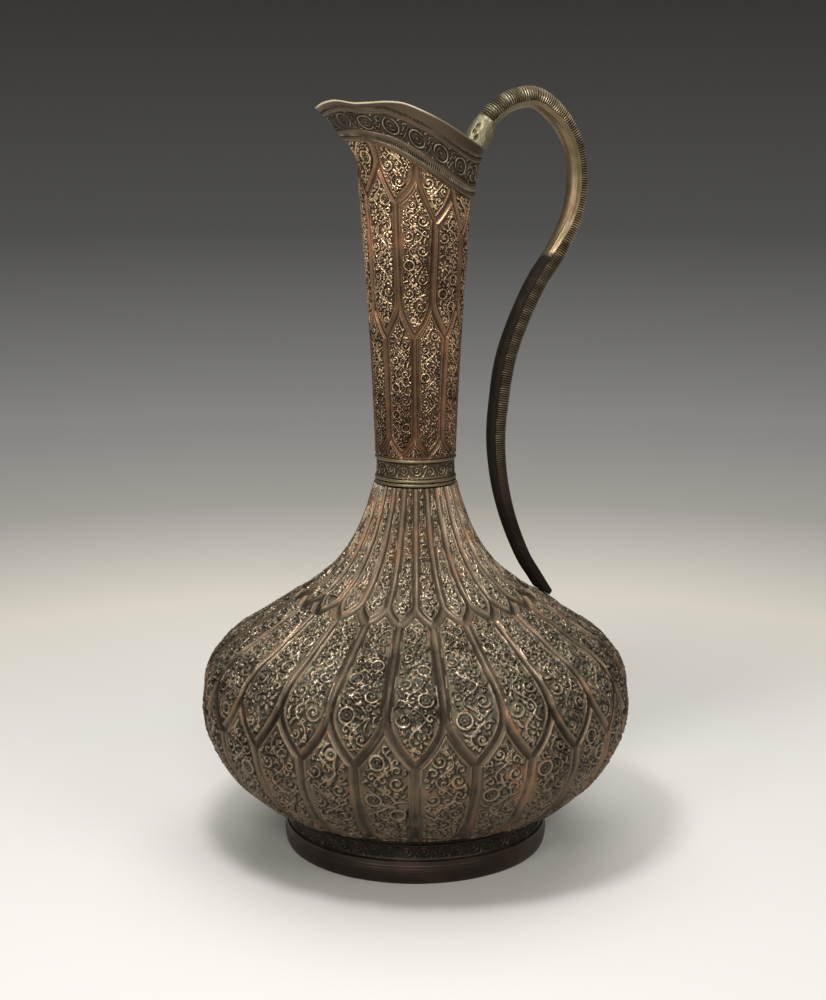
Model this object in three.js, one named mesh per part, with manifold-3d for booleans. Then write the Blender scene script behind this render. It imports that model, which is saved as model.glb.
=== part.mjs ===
// A copper ibrik ewer: squat round body on a ring foot, slender neck, beaked mouth and a tall S handle.
// Millimetres, +Z up. The origin is the middle of the foot's underside, the handle is on +X and the spout on -X.
import * as THREE from "three";
import { mergeVertices } from "three/addons/utils/BufferGeometryUtils.js";
import Module from "manifold-3d";

const wasm = await Module();
wasm.setup();

// Body
const bellyRadius = 105;
const bellyHeight = 72;
const floorHeight = 10;
const sheet = 1.2;
const bellyLap = 5;

// Channels between the body's panels: upright below, arched together over each panel, then parted again
const panels = 24;
const channelBreadth = 3.7;
const channelDepth = 0.9;
const channelFootRise = 16.7;
const archRise = 22.5;
const spineRise = 30.7;
const forkRise = 7.2;
const archPower = 1.6;
const channelPower = 0.6;

// Foot
const footRadius = 64.2;
const footSwell = 1.2;
const footWaist = 0.8;
const footWall = 2.2;
const footSeatRadius = 64;
const footBand = 11;

// Collar and neck
const collarHeight = 182.3;
const collarRadius = 19.3;
const collarShoulderRadius = 20;
const collarBand = 7.4;
const sleeveWall = 0.9;
const wireHeight = 1.7;
const wireReach = 1.7;
const neckLap = 5;
const neckTopRadius = 26.2;
const neckHeight = 123.2;
const neckFlareShare = 0.092;
const neckPower = 1.35;

// Mouth
const rimSpoutRadius = 49;
const rimBackRadius = 32.6;
const mouthBackHeight = 22.5;
const rimSlant = 21.8;
const rimTipDip = 3;
const bandSlant = 26.5;
const flareDepth = 27;
const mouthLap = 5;
const beakPower = 2.2;
const flarePower = 1.5;

// Where round the mouth each change starts and ends: shares of the half turn from spout to handle
const rimFallShares = [1 / 4, 5 / 6];
const bandFallShares = [1 / 12, 7 / 9];
const backFlareShares = [1 / 2, 1];
const rimTipShare = 1 / 8;

// Handle
const handleInset = 19.4;
const handleCrestRise = 23.8;
const handleDepth = 10;
const handleBreadth = 9.4;
const handleSeam = 1.6;
const handleSeatShare = 0.415;
const handleTailShare = 0.66;
const handleTaperShare = 0.42;
const rootInset = 2.4;
const rootRise = 10;
const rootBreadth = 14;
const rootDepth = 11.5;
const rootLean = 1;
const rootTang = 9;
const rootLip = 2;
const rootPitRadius = 0.8;
const rootPitDepth = 1.2;
const palmLength = 17;
const palmBreadth = 11;
const palmThickness = 1.3;
const palmTipShare = 0.55;

// Clearances
const gap = 0.3;
const overrun = 20;

// Faceting
const bodyTurns = 2 * panels;
const throatTurns = 48;
const bowlRows = 13;
const bowlInnerRows = 9;
const archRows = 6;
const spineRows = 5;
const forkRows = 3;
const collarRows = 7;
const shoulderRows = 18;
const shoulderInnerRows = 12;
const neckRows = 9;
const neckInnerRows = 5;
const mouthRows = 6;
const mouthInnerRows = 5;
const wireBends = 3;
const handleSteps = 44;
const bowFacets = 8;
const backFacets = 6;
const leafFacets = 7;
const rootFacets = 16;
const pitFacets = 8;

// Outline of the bowl from its flat middle to the belly: share of the belly radius, share of the bowl height
const bowlShares = [
  [0.36, 0.0],
  [0.47, 0.045],
  [0.545, 0.1],
  [0.619, 0.165],
  [0.686, 0.228],
  [0.75, 0.295],
  [0.815, 0.39],
  [0.877, 0.492],
  [0.941, 0.655],
  [0.983, 0.818],
  [1.0, 1.0],
];

// Outline of the shoulder from the belly to the collar: share of the way out from the collar, share of its height
const shoulderShares = [
  [1.0, 0.0],
  [0.992, 0.09],
  [0.968, 0.17],
  [0.918, 0.235],
  [0.838, 0.295],
  [0.735, 0.345],
  [0.561, 0.434],
  [0.44, 0.498],
  [0.325, 0.561],
  [0.218, 0.635],
  [0.118, 0.75],
  [0.044, 0.885],
  [0.0, 1.0],
];

// Centre line of the handle above its seat: share of the reach, share of the way up to the crest
const handleShares = [
  [0.752, 0.045],
  [0.684, 0.082],
  [0.579, 0.168],
  [0.519, 0.251],
  [0.498, 0.333],
  [0.513, 0.402],
  [0.556, 0.491],
  [0.639, 0.569],
  [0.754, 0.646],
  [0.871, 0.703],
  [0.956, 0.761],
  [0.996, 0.823],
  [0.986, 0.883],
  [0.946, 0.924],
  [0.864, 0.964],
  [0.73, 0.997],
  [0.602, 0.994],
  [0.491, 0.973],
];

// The root's section from its tang up to its face: share of the root's depth, share of its breadth
const rootShares = {
  tang: [0.21, 0.7],
  lip: [0.75, 0.9],
  rim: [1, 1],
  waist: [1.17, 0.98],
  face: [0.87, 0.76],
};

// Pits in the root's near side: share of the root's depth outwards, share of its rise
const pitShares = [
  [-0.12, 0.5],
  [-0.12, 0.8],
  [0.04, 1.05],
];

const forkHeight = bellyHeight + archRise + spineRise;
const stubRadius = collarRadius - sheet - gap;
const ringBore = collarRadius - sheet;
const neckFoot = collarHeight + 3 * wireHeight + collarBand + 5 * gap;
const bandBackHeight = neckFoot + neckHeight;
const rimBackHeight = bandBackHeight + mouthBackHeight;
const mouthStep = sheet + gap;
const handleReach = bellyRadius - handleInset;
const handleRootRadius = rimBackRadius - rootInset;
const handleSeatHeight = bellyHeight + handleSeatShare * (collarHeight - bellyHeight);
const handleCrestHeight = rimBackHeight + handleCrestRise;

// The solid of a closed geometry, for joins and cuts.
function toSolid(geometry) {
  const bare = geometry.clone();
  bare.deleteAttribute("normal");
  bare.deleteAttribute("uv");
  const merged = mergeVertices(bare, sheet / 1000);
  const index = merged.index.array;
  const kept = [];
  for (let i = 0; i < index.length; i += 3) {
    const [a, b, c] = [index[i], index[i + 1], index[i + 2]];
    if (a !== b && b !== c && c !== a) kept.push(a, b, c);
  }
  const vertProperties = merged.attributes.position.array;
  return new wasm.Manifold(new wasm.Mesh({ numProp: 3, vertProperties, triVerts: new Uint32Array(kept) }));
}

function toGeometry(solid) {
  const { vertProperties, triVerts, numProp } = solid.getMesh();
  const positions = new Float32Array(triVerts.length * 3);
  triVerts.forEach((vertex, i) => positions.set(vertProperties.slice(vertex * numProp, vertex * numProp + 3), i * 3));
  const geometry = new THREE.BufferGeometry();
  geometry.setAttribute("position", new THREE.BufferAttribute(positions, 3));
  geometry.computeVertexNormals();
  return geometry;
}

// A closed surface over rows of points. Rows that loop make a ring; otherwise both ends are capped.
function skin(rows, loops = false) {
  const across = rows[0].length;
  const points = rows.flat();
  const index = [];
  const last = loops ? rows.length : rows.length - 1;
  for (let i = 0; i < last; i++) {
    for (let j = 0; j < across; j++) {
      const a = i * across + j;
      const b = i * across + ((j + 1) % across);
      const d = ((i + 1) % rows.length) * across + j;
      const c = ((i + 1) % rows.length) * across + ((j + 1) % across);
      index.push(a, b, c, a, c, d);
    }
  }
  if (!loops) {
    const middle = (row) => row.reduce((sum, p) => sum.add(p), new THREE.Vector3()).divideScalar(across);
    points.push(middle(rows[0]), middle(rows[rows.length - 1]));
    const top = (rows.length - 1) * across;
    for (let j = 0; j < across; j++) {
      index.push(points.length - 2, (j + 1) % across, j);
      index.push(points.length - 1, top + j, top + ((j + 1) % across));
    }
  }
  const geometry = new THREE.BufferGeometry().setFromPoints(points);
  geometry.setIndex(index);
  geometry.computeVertexNormals();
  return geometry;
}

// Turns an outline of radius and height about the ewer's axis.
function turned(outline, turns = bodyTurns) {
  return new THREE.LatheGeometry(outline, turns).rotateX(Math.PI / 2);
}

const at = (radius, height) => new THREE.Vector2(radius, height);

// Points along a curve, moved to its right by a distance.
function sampled(curve, count, distance = 0) {
  return Array.from({ length: count + 1 }, (_, i) => {
    const tangent = curve.getTangent(i / count);
    return curve.getPoint(i / count).add(at(tangent.y, -tangent.x).multiplyScalar(distance));
  });
}

const bowlRise = bellyHeight - floorHeight;
const bowlCurve = new THREE.SplineCurve(
  bowlShares.map(([out, up]) => at(out * bellyRadius, floorHeight + up * bowlRise)),
);
const shoulderCurve = new THREE.SplineCurve(
  shoulderShares.map(([out, up]) =>
    at(
      collarShoulderRadius + out * (bellyRadius - collarShoulderRadius),
      bellyHeight + up * (collarHeight - bellyHeight),
    ),
  ),
);

// The height of the bowl's outside at a radius.
function bowlHeightAt(radius) {
  let low = 0;
  let high = 1;
  for (let i = 0; i < 40; i++) {
    const middle = (low + high) / 2;
    if (bowlCurve.getPoint(middle).x < radius) low = middle;
    else high = middle;
  }
  return bowlCurve.getPoint(low).y;
}

// The point and direction of a rising curve at a height.
function curveAt(curve, height) {
  let low = 0;
  let high = 1;
  for (let i = 0; i < 40; i++) {
    const middle = (low + high) / 2;
    if (curve.getPoint(middle).y < height) low = middle;
    else high = middle;
  }
  return { point: curve.getPoint(low), tangent: curve.getTangent(low) };
}

// How far the channels lie from the middle of a lower panel at a height, as a share of the panels' pitch.
function channelShareAt(height) {
  const closing = THREE.MathUtils.clamp((height - bellyHeight) / archRise, 0, 1);
  const opening = THREE.MathUtils.clamp((height - forkHeight) / forkRise, 0, 1);
  return ((1 - closing) ** archPower + 1 - (1 - opening) ** archPower) / 2;
}

// A row round the body's outside. Each pitch has the panels' middles, and the edges and bottom of its two channels.
// Where channels run together, or stop, their points fall on one another.
function channelRow({ point, tangent }) {
  const { x: radius, y: height } = point;
  const pitch = (2 * Math.PI) / panels;
  const narrow = (radius / bellyRadius) ** channelPower;
  const place = channelShareAt(height);
  const lean = ((channelShareAt(height + gap) - place) / gap) * pitch * radius;
  const runs = height > floorHeight + channelFootRise;
  const half = runs ? ((channelBreadth / 2) * narrow * Math.hypot(1, lean)) / (pitch * radius) : 0;
  const depth = Math.min(channelDepth, sheet - gap) * narrow;
  const near = [0, place - half, place, place + half].map((share) => THREE.MathUtils.clamp(share, 0, 1 / 2));
  const far = near.slice(1).reverse().map((share) => 1 - share);
  const shares = [...near, 1 / 2, ...far];
  return Array.from({ length: panels * shares.length }, (_, i) => {
    const share = shares[i % shares.length];
    const turn = (Math.floor(i / shares.length) + share) * pitch;
    const away = Math.abs(Math.min(share, 1 - share) - place);
    const sunk = away < half ? depth * (1 - away / half) : 0;
    const reach = radius - sunk * tangent.y;
    return new THREE.Vector3(reach * Math.cos(turn), reach * Math.sin(turn), height + sunk * tangent.x);
  });
}

function lowerBowl() {
  const rows = Array.from({ length: bowlRows + 1 }, (_, i) =>
    channelRow({ point: bowlCurve.getPoint(i / bowlRows), tangent: bowlCurve.getTangent(i / bowlRows) }),
  );
  rows[bowlRows].forEach((corner) => corner.setZ(bellyHeight - gap));
  const inside = sampled(bowlCurve, bowlInnerRows, -sheet);
  inside[bowlInnerRows] = at(bellyRadius - sheet, bellyHeight);
  const hollow = [at(0, floorHeight + sheet), ...inside, at(0, bellyHeight)];
  return toGeometry(toSolid(skin(rows)).subtract(toSolid(turned(hollow))));
}

// Heights of the shoulder's rows: up to the top of the arches, to the fork, through it and on to the collar.
function shoulderHeights() {
  const stops = [bellyHeight, bellyHeight + archRise, forkHeight, forkHeight + forkRise, collarHeight];
  const counts = [archRows, spineRows, forkRows, collarRows];
  const heights = counts.flatMap((count, i) =>
    Array.from({ length: count }, (_, j) => THREE.MathUtils.lerp(stops[i], stops[i + 1], j / count)),
  );
  return [...heights, collarHeight];
}

// The shoulder laps inside the bowl at the belly and ends in a plain tube that carries the collar and neck.
function shoulderShell() {
  const rows = shoulderHeights().map((height) => channelRow(curveAt(shoulderCurve, height)));
  const inside = sampled(shoulderCurve, shoulderInnerRows, -sheet).slice(0, -2);
  const lapDepth = sheet + 2 * gap;
  const lapRadius = bellyRadius - lapDepth;
  const lapEnd = bellyHeight - bellyLap;
  const lapEndRadius = curveAt(bowlCurve, lapEnd).point.x - lapDepth;
  const boreRadius = stubRadius - sheet;
  const stubTop = neckFoot + neckLap;
  inside[0] = at(lapRadius - sheet, bellyHeight);
  const core = [
    at(0, lapEnd),
    at(lapEndRadius, lapEnd),
    at(lapRadius, bellyHeight),
    at(lapRadius, bellyHeight + gap),
    at(stubRadius, bellyHeight + gap),
    at(stubRadius, stubTop),
    at(0, stubTop),
  ];
  const hollow = [
    at(0, lapEnd - gap),
    at(lapEndRadius - sheet, lapEnd - gap),
    at(lapEndRadius - sheet, lapEnd),
    ...inside,
    at(boreRadius, collarHeight - sheet),
    at(boreRadius, stubTop + gap),
    at(0, stubTop + gap),
  ];
  return toGeometry(toSolid(skin(rows)).add(toSolid(turned(core))).subtract(toSolid(turned(hollow))));
}

// A standing ring: plain band below, shallow waist above, its top edge cut to the bowl it carries.
function footRing() {
  const seat = bowlHeightAt(footSeatRadius) + sheet;
  const outline = [
    at(footRadius - footWall, 0),
    at(footRadius, 0),
    at(footRadius + footSwell, footBand / 2),
    at(footRadius + footSwell / 2, footBand),
    at(footRadius - footWaist / 2, footBand + footWaist),
    at(footRadius - footWaist, (footBand + seat) / 2),
    at(footSeatRadius, seat),
    at(footSeatRadius - footWall, seat),
    at(footRadius - footWaist - footWall, (footBand + seat) / 2),
    at(footRadius - footWaist - footWall, footBand),
    at(footRadius - footWall, footBand / 2),
    at(footRadius - footWall, 0),
  ];
  const bowl = [at(0, floorHeight - gap), ...sampled(bowlCurve, bowlRows, gap), at(0, bellyHeight)];
  return toGeometry(toSolid(turned(outline)).subtract(toSolid(turned(bowl))));
}

function collarSleeve(base) {
  const sleeveRadius = ringBore + sleeveWall;
  return turned([
    at(ringBore, base),
    at(sleeveRadius, base),
    at(sleeveRadius, base + collarBand),
    at(ringBore, base + collarBand),
    at(ringBore, base),
  ]);
}

// A half round wire bent round the joint.
function collarWire(base) {
  const half = wireHeight / 2;
  const round = Array.from({ length: wireBends + 1 }, (_, i) => {
    const angle = ((i / wireBends) * 2 - 1) * (Math.PI / 2);
    return at(ringBore + wireReach - half + half * Math.cos(angle), base + half + half * Math.sin(angle));
  });
  return turned([at(ringBore, base), ...round, at(ringBore, base + wireHeight), at(ringBore, base)]);
}

// Angle from the spout, 0 at its tip and a half turn at the handle.
const fromSpout = (turn) => Math.abs(Math.PI - (turn % (2 * Math.PI)));
const rising = (away, [start, end]) => THREE.MathUtils.smoothstep(away / Math.PI, start, end);

function rimHeight(turn) {
  const away = fromSpout(turn);
  const tipShare = Math.exp(-((away / (rimTipShare * Math.PI)) ** 2));
  return rimBackHeight + rimSlant * (1 - rising(away, rimFallShares)) - rimTipDip * tipShare;
}

function rimRadius(turn) {
  const beakShare = ((1 + Math.cos(fromSpout(turn))) / 2) ** beakPower;
  return rimBackRadius + (rimSpoutRadius - rimBackRadius) * beakShare;
}

// The slanted line where the mouth piece laps over the neck.
function bandHeight(turn) {
  return bandBackHeight + bandSlant * (1 - rising(fromSpout(turn), bandFallShares));
}

// The neck before it flares: a slow outward curve, then a straight taper.
function taperRadius(height) {
  if (height > bandBackHeight) return neckTopRadius + (height - bandBackHeight) * neckFlareShare;
  const share = Math.max(0, (height - neckFoot) / neckHeight);
  return collarRadius + (neckTopRadius - collarRadius) * share ** neckPower;
}

// The outside of the neck sheet, which flares towards the beak and, more sharply, at the back of the rim.
function throatRadius(turn, height) {
  const rim = rimHeight(turn);
  const share = THREE.MathUtils.clamp((height - (rim - flareDepth)) / flareDepth, 0, 2);
  const sharpness = flarePower + rising(fromSpout(turn), backFlareShares);
  return taperRadius(height) + (rimRadius(turn) - mouthStep - taperRadius(rim)) * share ** sharpness;
}

// Rows of points round the throat from one height line to another, moved out by a distance.
function throatRows(count, from, to, distance) {
  return Array.from({ length: count + 1 }, (_, i) =>
    Array.from({ length: throatTurns }, (_, j) => {
      const turn = (j / throatTurns) * 2 * Math.PI;
      const height = THREE.MathUtils.lerp(from(turn), to(turn), i / count);
      const radius = throatRadius(turn, height) + distance;
      return new THREE.Vector3(radius * Math.cos(turn), radius * Math.sin(turn), height);
    }),
  );
}

const lapTop = (turn) => bandHeight(turn) + mouthLap;

function neckTube() {
  const bottom = () => neckFoot;
  const wall = (distance, count) => [
    ...throatRows(count, bottom, bandHeight, distance),
    ...throatRows(1, bandHeight, lapTop, distance).slice(1),
  ];
  return skin([...wall(0, neckRows), ...wall(-sheet, neckInnerRows).reverse()], true);
}

// The mouth piece, or the space it needs when it is grown by a clearance.
function mouthShell(grown = 0) {
  const bottom = (turn) => bandHeight(turn) - grown;
  const top = (turn) => rimHeight(turn) + grown;
  const wall = (distance, count) => [
    ...throatRows(1, bottom, lapTop, distance),
    ...throatRows(count, lapTop, top, distance).slice(1),
  ];
  return skin([...wall(mouthStep + grown, mouthRows), ...wall(gap - grown, mouthInnerRows).reverse()], true);
}

// The palm lies on the shoulder below the handle: its frame has x down the slope, y across and z out of the sheet.
function palmFrame() {
  const { point, tangent } = curveAt(shoulderCurve, handleSeatHeight);
  const down = new THREE.Vector3(-tangent.x, 0, -tangent.y);
  const out = new THREE.Vector3(tangent.y, 0, -tangent.x);
  const across = new THREE.Vector3().crossVectors(out, down);
  const frame = new THREE.Matrix4().makeBasis(down, across, out);
  return frame.setPosition(point.x, 0, point.y);
}

function leafShape() {
  const tip = palmLength * palmTipShare;
  const heel = palmLength - tip;
  const half = palmBreadth / 2;
  const shape = new THREE.Shape();
  shape.moveTo(-heel, 0);
  shape.quadraticCurveTo(-heel, -half, 0, -half);
  shape.quadraticCurveTo(tip / 2, -half, tip, 0);
  shape.quadraticCurveTo(tip / 2, half, 0, half);
  shape.quadraticCurveTo(-heel, half, -heel, 0);
  return shape;
}

function shoulderSpace() {
  return toSolid(turned([at(0, bellyHeight), ...sampled(shoulderCurve, shoulderRows, gap), at(0, collarHeight)]));
}

function handlePalm() {
  const leaf = new THREE.ExtrudeGeometry(leafShape(), {
    depth: palmThickness * 2,
    bevelEnabled: false,
    curveSegments: leafFacets,
  });
  leaf.translate(0, 0, -palmThickness);
  leaf.applyMatrix4(palmFrame());
  return toGeometry(toSolid(leaf).subtract(shoulderSpace()));
}

// The handle's centre line in the plane of the spout, from the palm up and over to the rim.
function handlePath() {
  const seat = new THREE.Vector3(0, 0, palmThickness).applyMatrix4(palmFrame());
  const rise = handleCrestHeight - seat.z;
  const middle = handleShares.map(
    ([out, up]) => new THREE.Vector3(out * handleReach, 0, seat.z + up * rise),
  );
  const root = new THREE.Vector3(handleRootRadius, 0, rimBackHeight + rootRise / 2);
  return new THREE.CatmullRomCurve3([seat, ...middle, root], false, "centripetal");
}

// Carries a half section, given outwards from the seam, along the handle.
function handleHalf(section) {
  const path = handlePath();
  const across = new THREE.Vector3(0, 1, 0);
  const rows = Array.from({ length: handleSteps + 1 }, (_, i) => {
    const tangent = path.getTangentAt(i / handleSteps);
    const centre = path.getPointAt(i / handleSteps);
    const out = new THREE.Vector3().crossVectors(across, tangent);
    const swell = THREE.MathUtils.smoothstep(i / handleSteps, 0, handleTaperShare);
    const scale = THREE.MathUtils.lerp(handleTailShare, 1, swell);
    return section.map(([depth, breadth]) =>
      centre.clone().addScaledVector(out, depth * scale).addScaledVector(across, breadth * scale),
    );
  });
  return toSolid(skin(rows));
}

function halfRound(start, end, base, depth, count) {
  return Array.from({ length: count + 1 }, (_, i) => {
    const angle = THREE.MathUtils.lerp(start, end, i / count);
    return [base + depth * Math.cos(angle), (handleBreadth / 2) * Math.sin(angle)];
  });
}

// What the handle's ends are cut to: the top of the palm and the top of the root.
function handleCuts() {
  const block = new THREE.BoxGeometry(overrun * 2, overrun * 2, overrun);
  block.translate(0, 0, palmThickness + gap - overrun / 2);
  block.applyMatrix4(palmFrame());
  const rootBlock = new THREE.BoxGeometry(overrun * 2, overrun * 2, overrun);
  rootBlock.translate(0, 0, -overrun / 2 + gap);
  rootBlock.applyMatrix4(rootFrame());
  return toSolid(block).add(toSolid(rootBlock));
}

function handleBow() {
  const section = halfRound(Math.PI / 2, (Math.PI * 3) / 2, handleSeam, handleSeam + handleDepth / 2, bowFacets);
  return toGeometry(handleHalf(section).subtract(handleCuts()));
}

function handleBack() {
  const base = handleSeam + gap;
  const section = halfRound(-Math.PI / 2, Math.PI / 2, base, handleDepth / 2 - base, backFacets);
  return toGeometry(handleHalf(section).subtract(handleCuts()));
}

// The root's top face: square to the handle's line, a little above the rim.
function rootFrame() {
  const path = handlePath();
  const share = 1 - rootRise / path.getLength();
  const out = path.getTangentAt(share).negate();
  const across = new THREE.Vector3(0, 1, 0);
  const side = new THREE.Vector3().crossVectors(across, out);
  const centre = path.getPointAt(share);
  return new THREE.Matrix4().makeBasis(side, across, out).setPosition(centre);
}

// The root sits astride the rim: its face takes the handle, a short lip hangs outside and a tang runs down inside.
function handleRoot() {
  const level = new THREE.Vector3(1, 0, 0);
  const across = new THREE.Vector3(0, 1, 0);
  const top = new THREE.Vector3().setFromMatrixPosition(rootFrame());
  const side = new THREE.Vector3().setFromMatrixColumn(rootFrame(), 0);
  const tilted = side.clone().add(level).normalize();
  const rim = new THREE.Vector3(handleRootRadius, 0, rimBackHeight);
  const lip = rim.clone().setZ(rimBackHeight - rootLip);
  const tang = new THREE.Vector3(rimBackRadius - 3 * sheet, 0, rimBackHeight - rootTang);
  const waist = rim.clone().lerp(top, 1 / 2).addScaledVector(tilted, -rootLean);
  const ring = (centre, direction, [depthShare, breadthShare]) =>
    Array.from({ length: rootFacets }, (_, i) => {
      const angle = (i / rootFacets) * 2 * Math.PI;
      return centre
        .clone()
        .addScaledVector(direction, (rootDepth / 2) * depthShare * Math.cos(angle))
        .addScaledVector(across, (rootBreadth / 2) * breadthShare * Math.sin(angle));
    });
  const rows = [
    ring(tang, level, rootShares.tang),
    ring(lip, level, rootShares.lip),
    ring(rim, level, rootShares.rim),
    ring(waist, tilted, rootShares.waist),
    ring(top, side, rootShares.face),
  ];
  const cuts = [toSolid(mouthShell(gap)), ...pitShares.map(rootPit)];
  return toGeometry(cuts.reduce((root, cut) => root.subtract(cut), toSolid(skin(rows))));
}

// A blind round pit in the root's near side.
function rootPit([outShare, upShare]) {
  const pit = new THREE.CylinderGeometry(rootPitRadius, rootPitRadius, overrun, pitFacets);
  const near = rootPitDepth - rootBreadth / 2 - overrun / 2;
  pit.translate(handleRootRadius + outShare * rootDepth, near, rimBackHeight + upShare * rootRise);
  return toSolid(pit);
}

const finishes = {
  darkCopper: { color: 0x3d2c20, roughness: 0.5, metalness: 0.85 },
  bodyCopper: { color: 0x6a5038, roughness: 0.45, metalness: 0.85 },
  neckCopper: { color: 0x7d563b, roughness: 0.42, metalness: 0.85 },
  paleCopper: { color: 0x8b8062, roughness: 0.5, metalness: 0.75 },
  handleBrass: { color: 0x6e6142, roughness: 0.4, metalness: 0.85 },
  handleDark: { color: 0x33261c, roughness: 0.45, metalness: 0.85 },
};

const ewer = new THREE.Group();

function addPiece(name, geometry, finish) {
  const mesh = new THREE.Mesh(geometry, new THREE.MeshStandardMaterial(finishes[finish]));
  mesh.name = name;
  ewer.add(mesh);
}

const lowWireBase = collarHeight + gap;
const middleWireBase = lowWireBase + wireHeight + gap;
const sleeveBase = middleWireBase + wireHeight + gap;
const topWireBase = sleeveBase + collarBand + gap;

addPiece("foot_ring", footRing(), "darkCopper");
addPiece("lower_bowl", lowerBowl(), "bodyCopper");
addPiece("shoulder_shell", shoulderShell(), "bodyCopper");
addPiece("collar_wire_bottom", collarWire(lowWireBase), "paleCopper");
addPiece("collar_wire_middle", collarWire(middleWireBase), "paleCopper");
addPiece("collar_sleeve", collarSleeve(sleeveBase), "neckCopper");
addPiece("collar_wire_top", collarWire(topWireBase), "paleCopper");
addPiece("neck_tube", neckTube(), "neckCopper");
addPiece("mouth_piece", mouthShell(), "neckCopper");
addPiece("handle_palm", handlePalm(), "handleDark");
addPiece("handle_bow", handleBow(), "handleBrass");
addPiece("handle_back", handleBack(), "handleBrass");
addPiece("handle_root", handleRoot(), "paleCopper");

export default ewer;
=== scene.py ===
import math
import bmesh
import bpy
import numpy as np
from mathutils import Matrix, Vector


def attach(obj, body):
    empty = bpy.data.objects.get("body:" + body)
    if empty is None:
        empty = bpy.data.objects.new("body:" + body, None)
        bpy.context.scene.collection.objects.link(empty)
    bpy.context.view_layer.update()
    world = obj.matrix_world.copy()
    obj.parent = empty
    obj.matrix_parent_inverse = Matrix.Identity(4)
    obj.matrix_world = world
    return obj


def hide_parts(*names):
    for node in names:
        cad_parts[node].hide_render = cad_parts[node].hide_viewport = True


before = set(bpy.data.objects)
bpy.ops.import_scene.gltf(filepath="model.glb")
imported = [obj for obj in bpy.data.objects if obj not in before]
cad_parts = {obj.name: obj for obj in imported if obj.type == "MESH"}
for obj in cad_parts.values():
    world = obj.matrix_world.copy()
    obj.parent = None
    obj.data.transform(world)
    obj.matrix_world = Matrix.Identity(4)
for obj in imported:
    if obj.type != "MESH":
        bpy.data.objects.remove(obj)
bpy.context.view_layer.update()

mm = 0.001
tau = 2 * math.pi


# A value in a node tree, which sums can be written with
class Term:
    def __init__(self, bench, socket):
        self.bench, self.socket = bench, socket

    def step(self, how, *others, clamp=False):
        return self.bench.maths(how, self, *others, clamp=clamp)

    def clamped(self):
        return self.step("ADD", 0.0, clamp=True)

    def __add__(self, other):
        return self.step("ADD", other)

    def __mul__(self, other):
        return self.step("MULTIPLY", other)

    def __sub__(self, other):
        return self.step("SUBTRACT", other)

    def __rsub__(self, other):
        return self.bench.maths("SUBTRACT", other, self)


# A node tree as it grows
class Bench:
    def __init__(self, tree):
        self.tree = tree
        self.shapes = tree.bl_idname == "GeometryNodeTree"

    def feed(self, node, inputs):
        for key, value in inputs.items():
            if isinstance(value, Term):
                self.tree.links.new(value.socket, node.inputs[key])
            else:
                node.inputs[key].default_value = value

    # Adds a node and gives one of its outputs
    def add(self, kind, out=0, inputs=None, **settings):
        made = self.tree.nodes.new(kind)
        for key, value in settings.items():
            setattr(made, key, value)
        self.feed(made, inputs or {})
        return Term(self, made.outputs[out])

    def maths(self, how, *values, clamp=False):
        return self.add("ShaderNodeMath", 0, dict(enumerate(values)), operation=how, use_clamp=clamp)

    def vectors(self, how, *values):
        out = "Value" if how == "DOT_PRODUCT" else "Vector"
        return self.add("ShaderNodeVectorMath", out, dict(enumerate(values)), operation=how)

    def scaled(self, vector, amount):
        return self.add("ShaderNodeVectorMath", 0, {0: vector, "Scale": amount}, operation="SCALE")

    def split(self, vector):
        first = self.add("ShaderNodeSeparateXYZ", 0, {0: vector})
        return [Term(self, socket) for socket in first.socket.node.outputs]

    def joined(self, **parts):
        return self.add("ShaderNodeCombineXYZ", 0, parts)

    def noise(self, vector, scale, seed, detail=2.0, out=0):
        inputs = {"Vector": vector, "W": seed, "Scale": scale, "Detail": detail}
        return self.add("ShaderNodeTexNoise", out, inputs, noise_dimensions="4D")

    def eased(self, value, low, high, start=0.0, end=1.0):
        inputs = {"Value": value, "From Min": low, "From Max": high, "To Min": start, "To Max": end}
        return self.add("ShaderNodeMapRange", "Result", inputs, interpolation_type="SMOOTHSTEP")

    def blend(self, share, first, second):
        return self.add("ShaderNodeMix", 2, {0: share, 6: first, 7: second}, data_type="RGBA")

    def place(self):
        if self.shapes:
            return self.add("GeometryNodeInputPosition")
        return self.add("ShaderNodeTexCoord", "Object")

    def mask(self, name, kind="FLOAT"):
        if self.shapes:
            return self.add("GeometryNodeInputNamedAttribute", "Attribute", {"Name": name}, data_type=kind)
        return self.add("ShaderNodeAttribute", "Fac", attribute_name=name)

    def moved(self, geometry, push):
        return self.add("GeometryNodeSetPosition", 0, {"Geometry": geometry, "Offset": push})

    def stored(self, geometry, name, value):
        inputs = {"Geometry": geometry, "Name": name, "Value": value}
        return self.add("GeometryNodeStoreNamedAttribute", 0, inputs)

    # Ends a Geometry Nodes tree
    def sealed(self, geometry, material, out):
        real = self.add("GeometryNodeRealizeInstances", 0, {"Geometry": geometry})
        made = self.add("GeometryNodeSetMaterial", 0, {"Geometry": real, "Material": material})
        self.feed(out, {"Geometry": made})
        return self.tree


# Opens a node group. A socket's kind is given by name, or by the size of its starting value
def openTree(name, kind, inputs, outputs):
    tree = bpy.data.node_groups.new(name, kind)
    for way, sockets in (("INPUT", inputs), ("OUTPUT", outputs)):
        for label, start in sockets.items():
            named = isinstance(start, str)
            sort = start if named else {1: "Float", 3: "Vector", 4: "Color"}[np.size(start)]
            socket = tree.interface.new_socket(name=label, in_out=way, socket_type="NodeSocket" + sort)
            if not named:
                socket.default_value = start
    bench = Bench(tree)
    given = {s.name: Term(bench, s) for s in tree.nodes.new("NodeGroupInput").outputs if s.name}
    return bench, given, tree.nodes.new("NodeGroupOutput")


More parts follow.
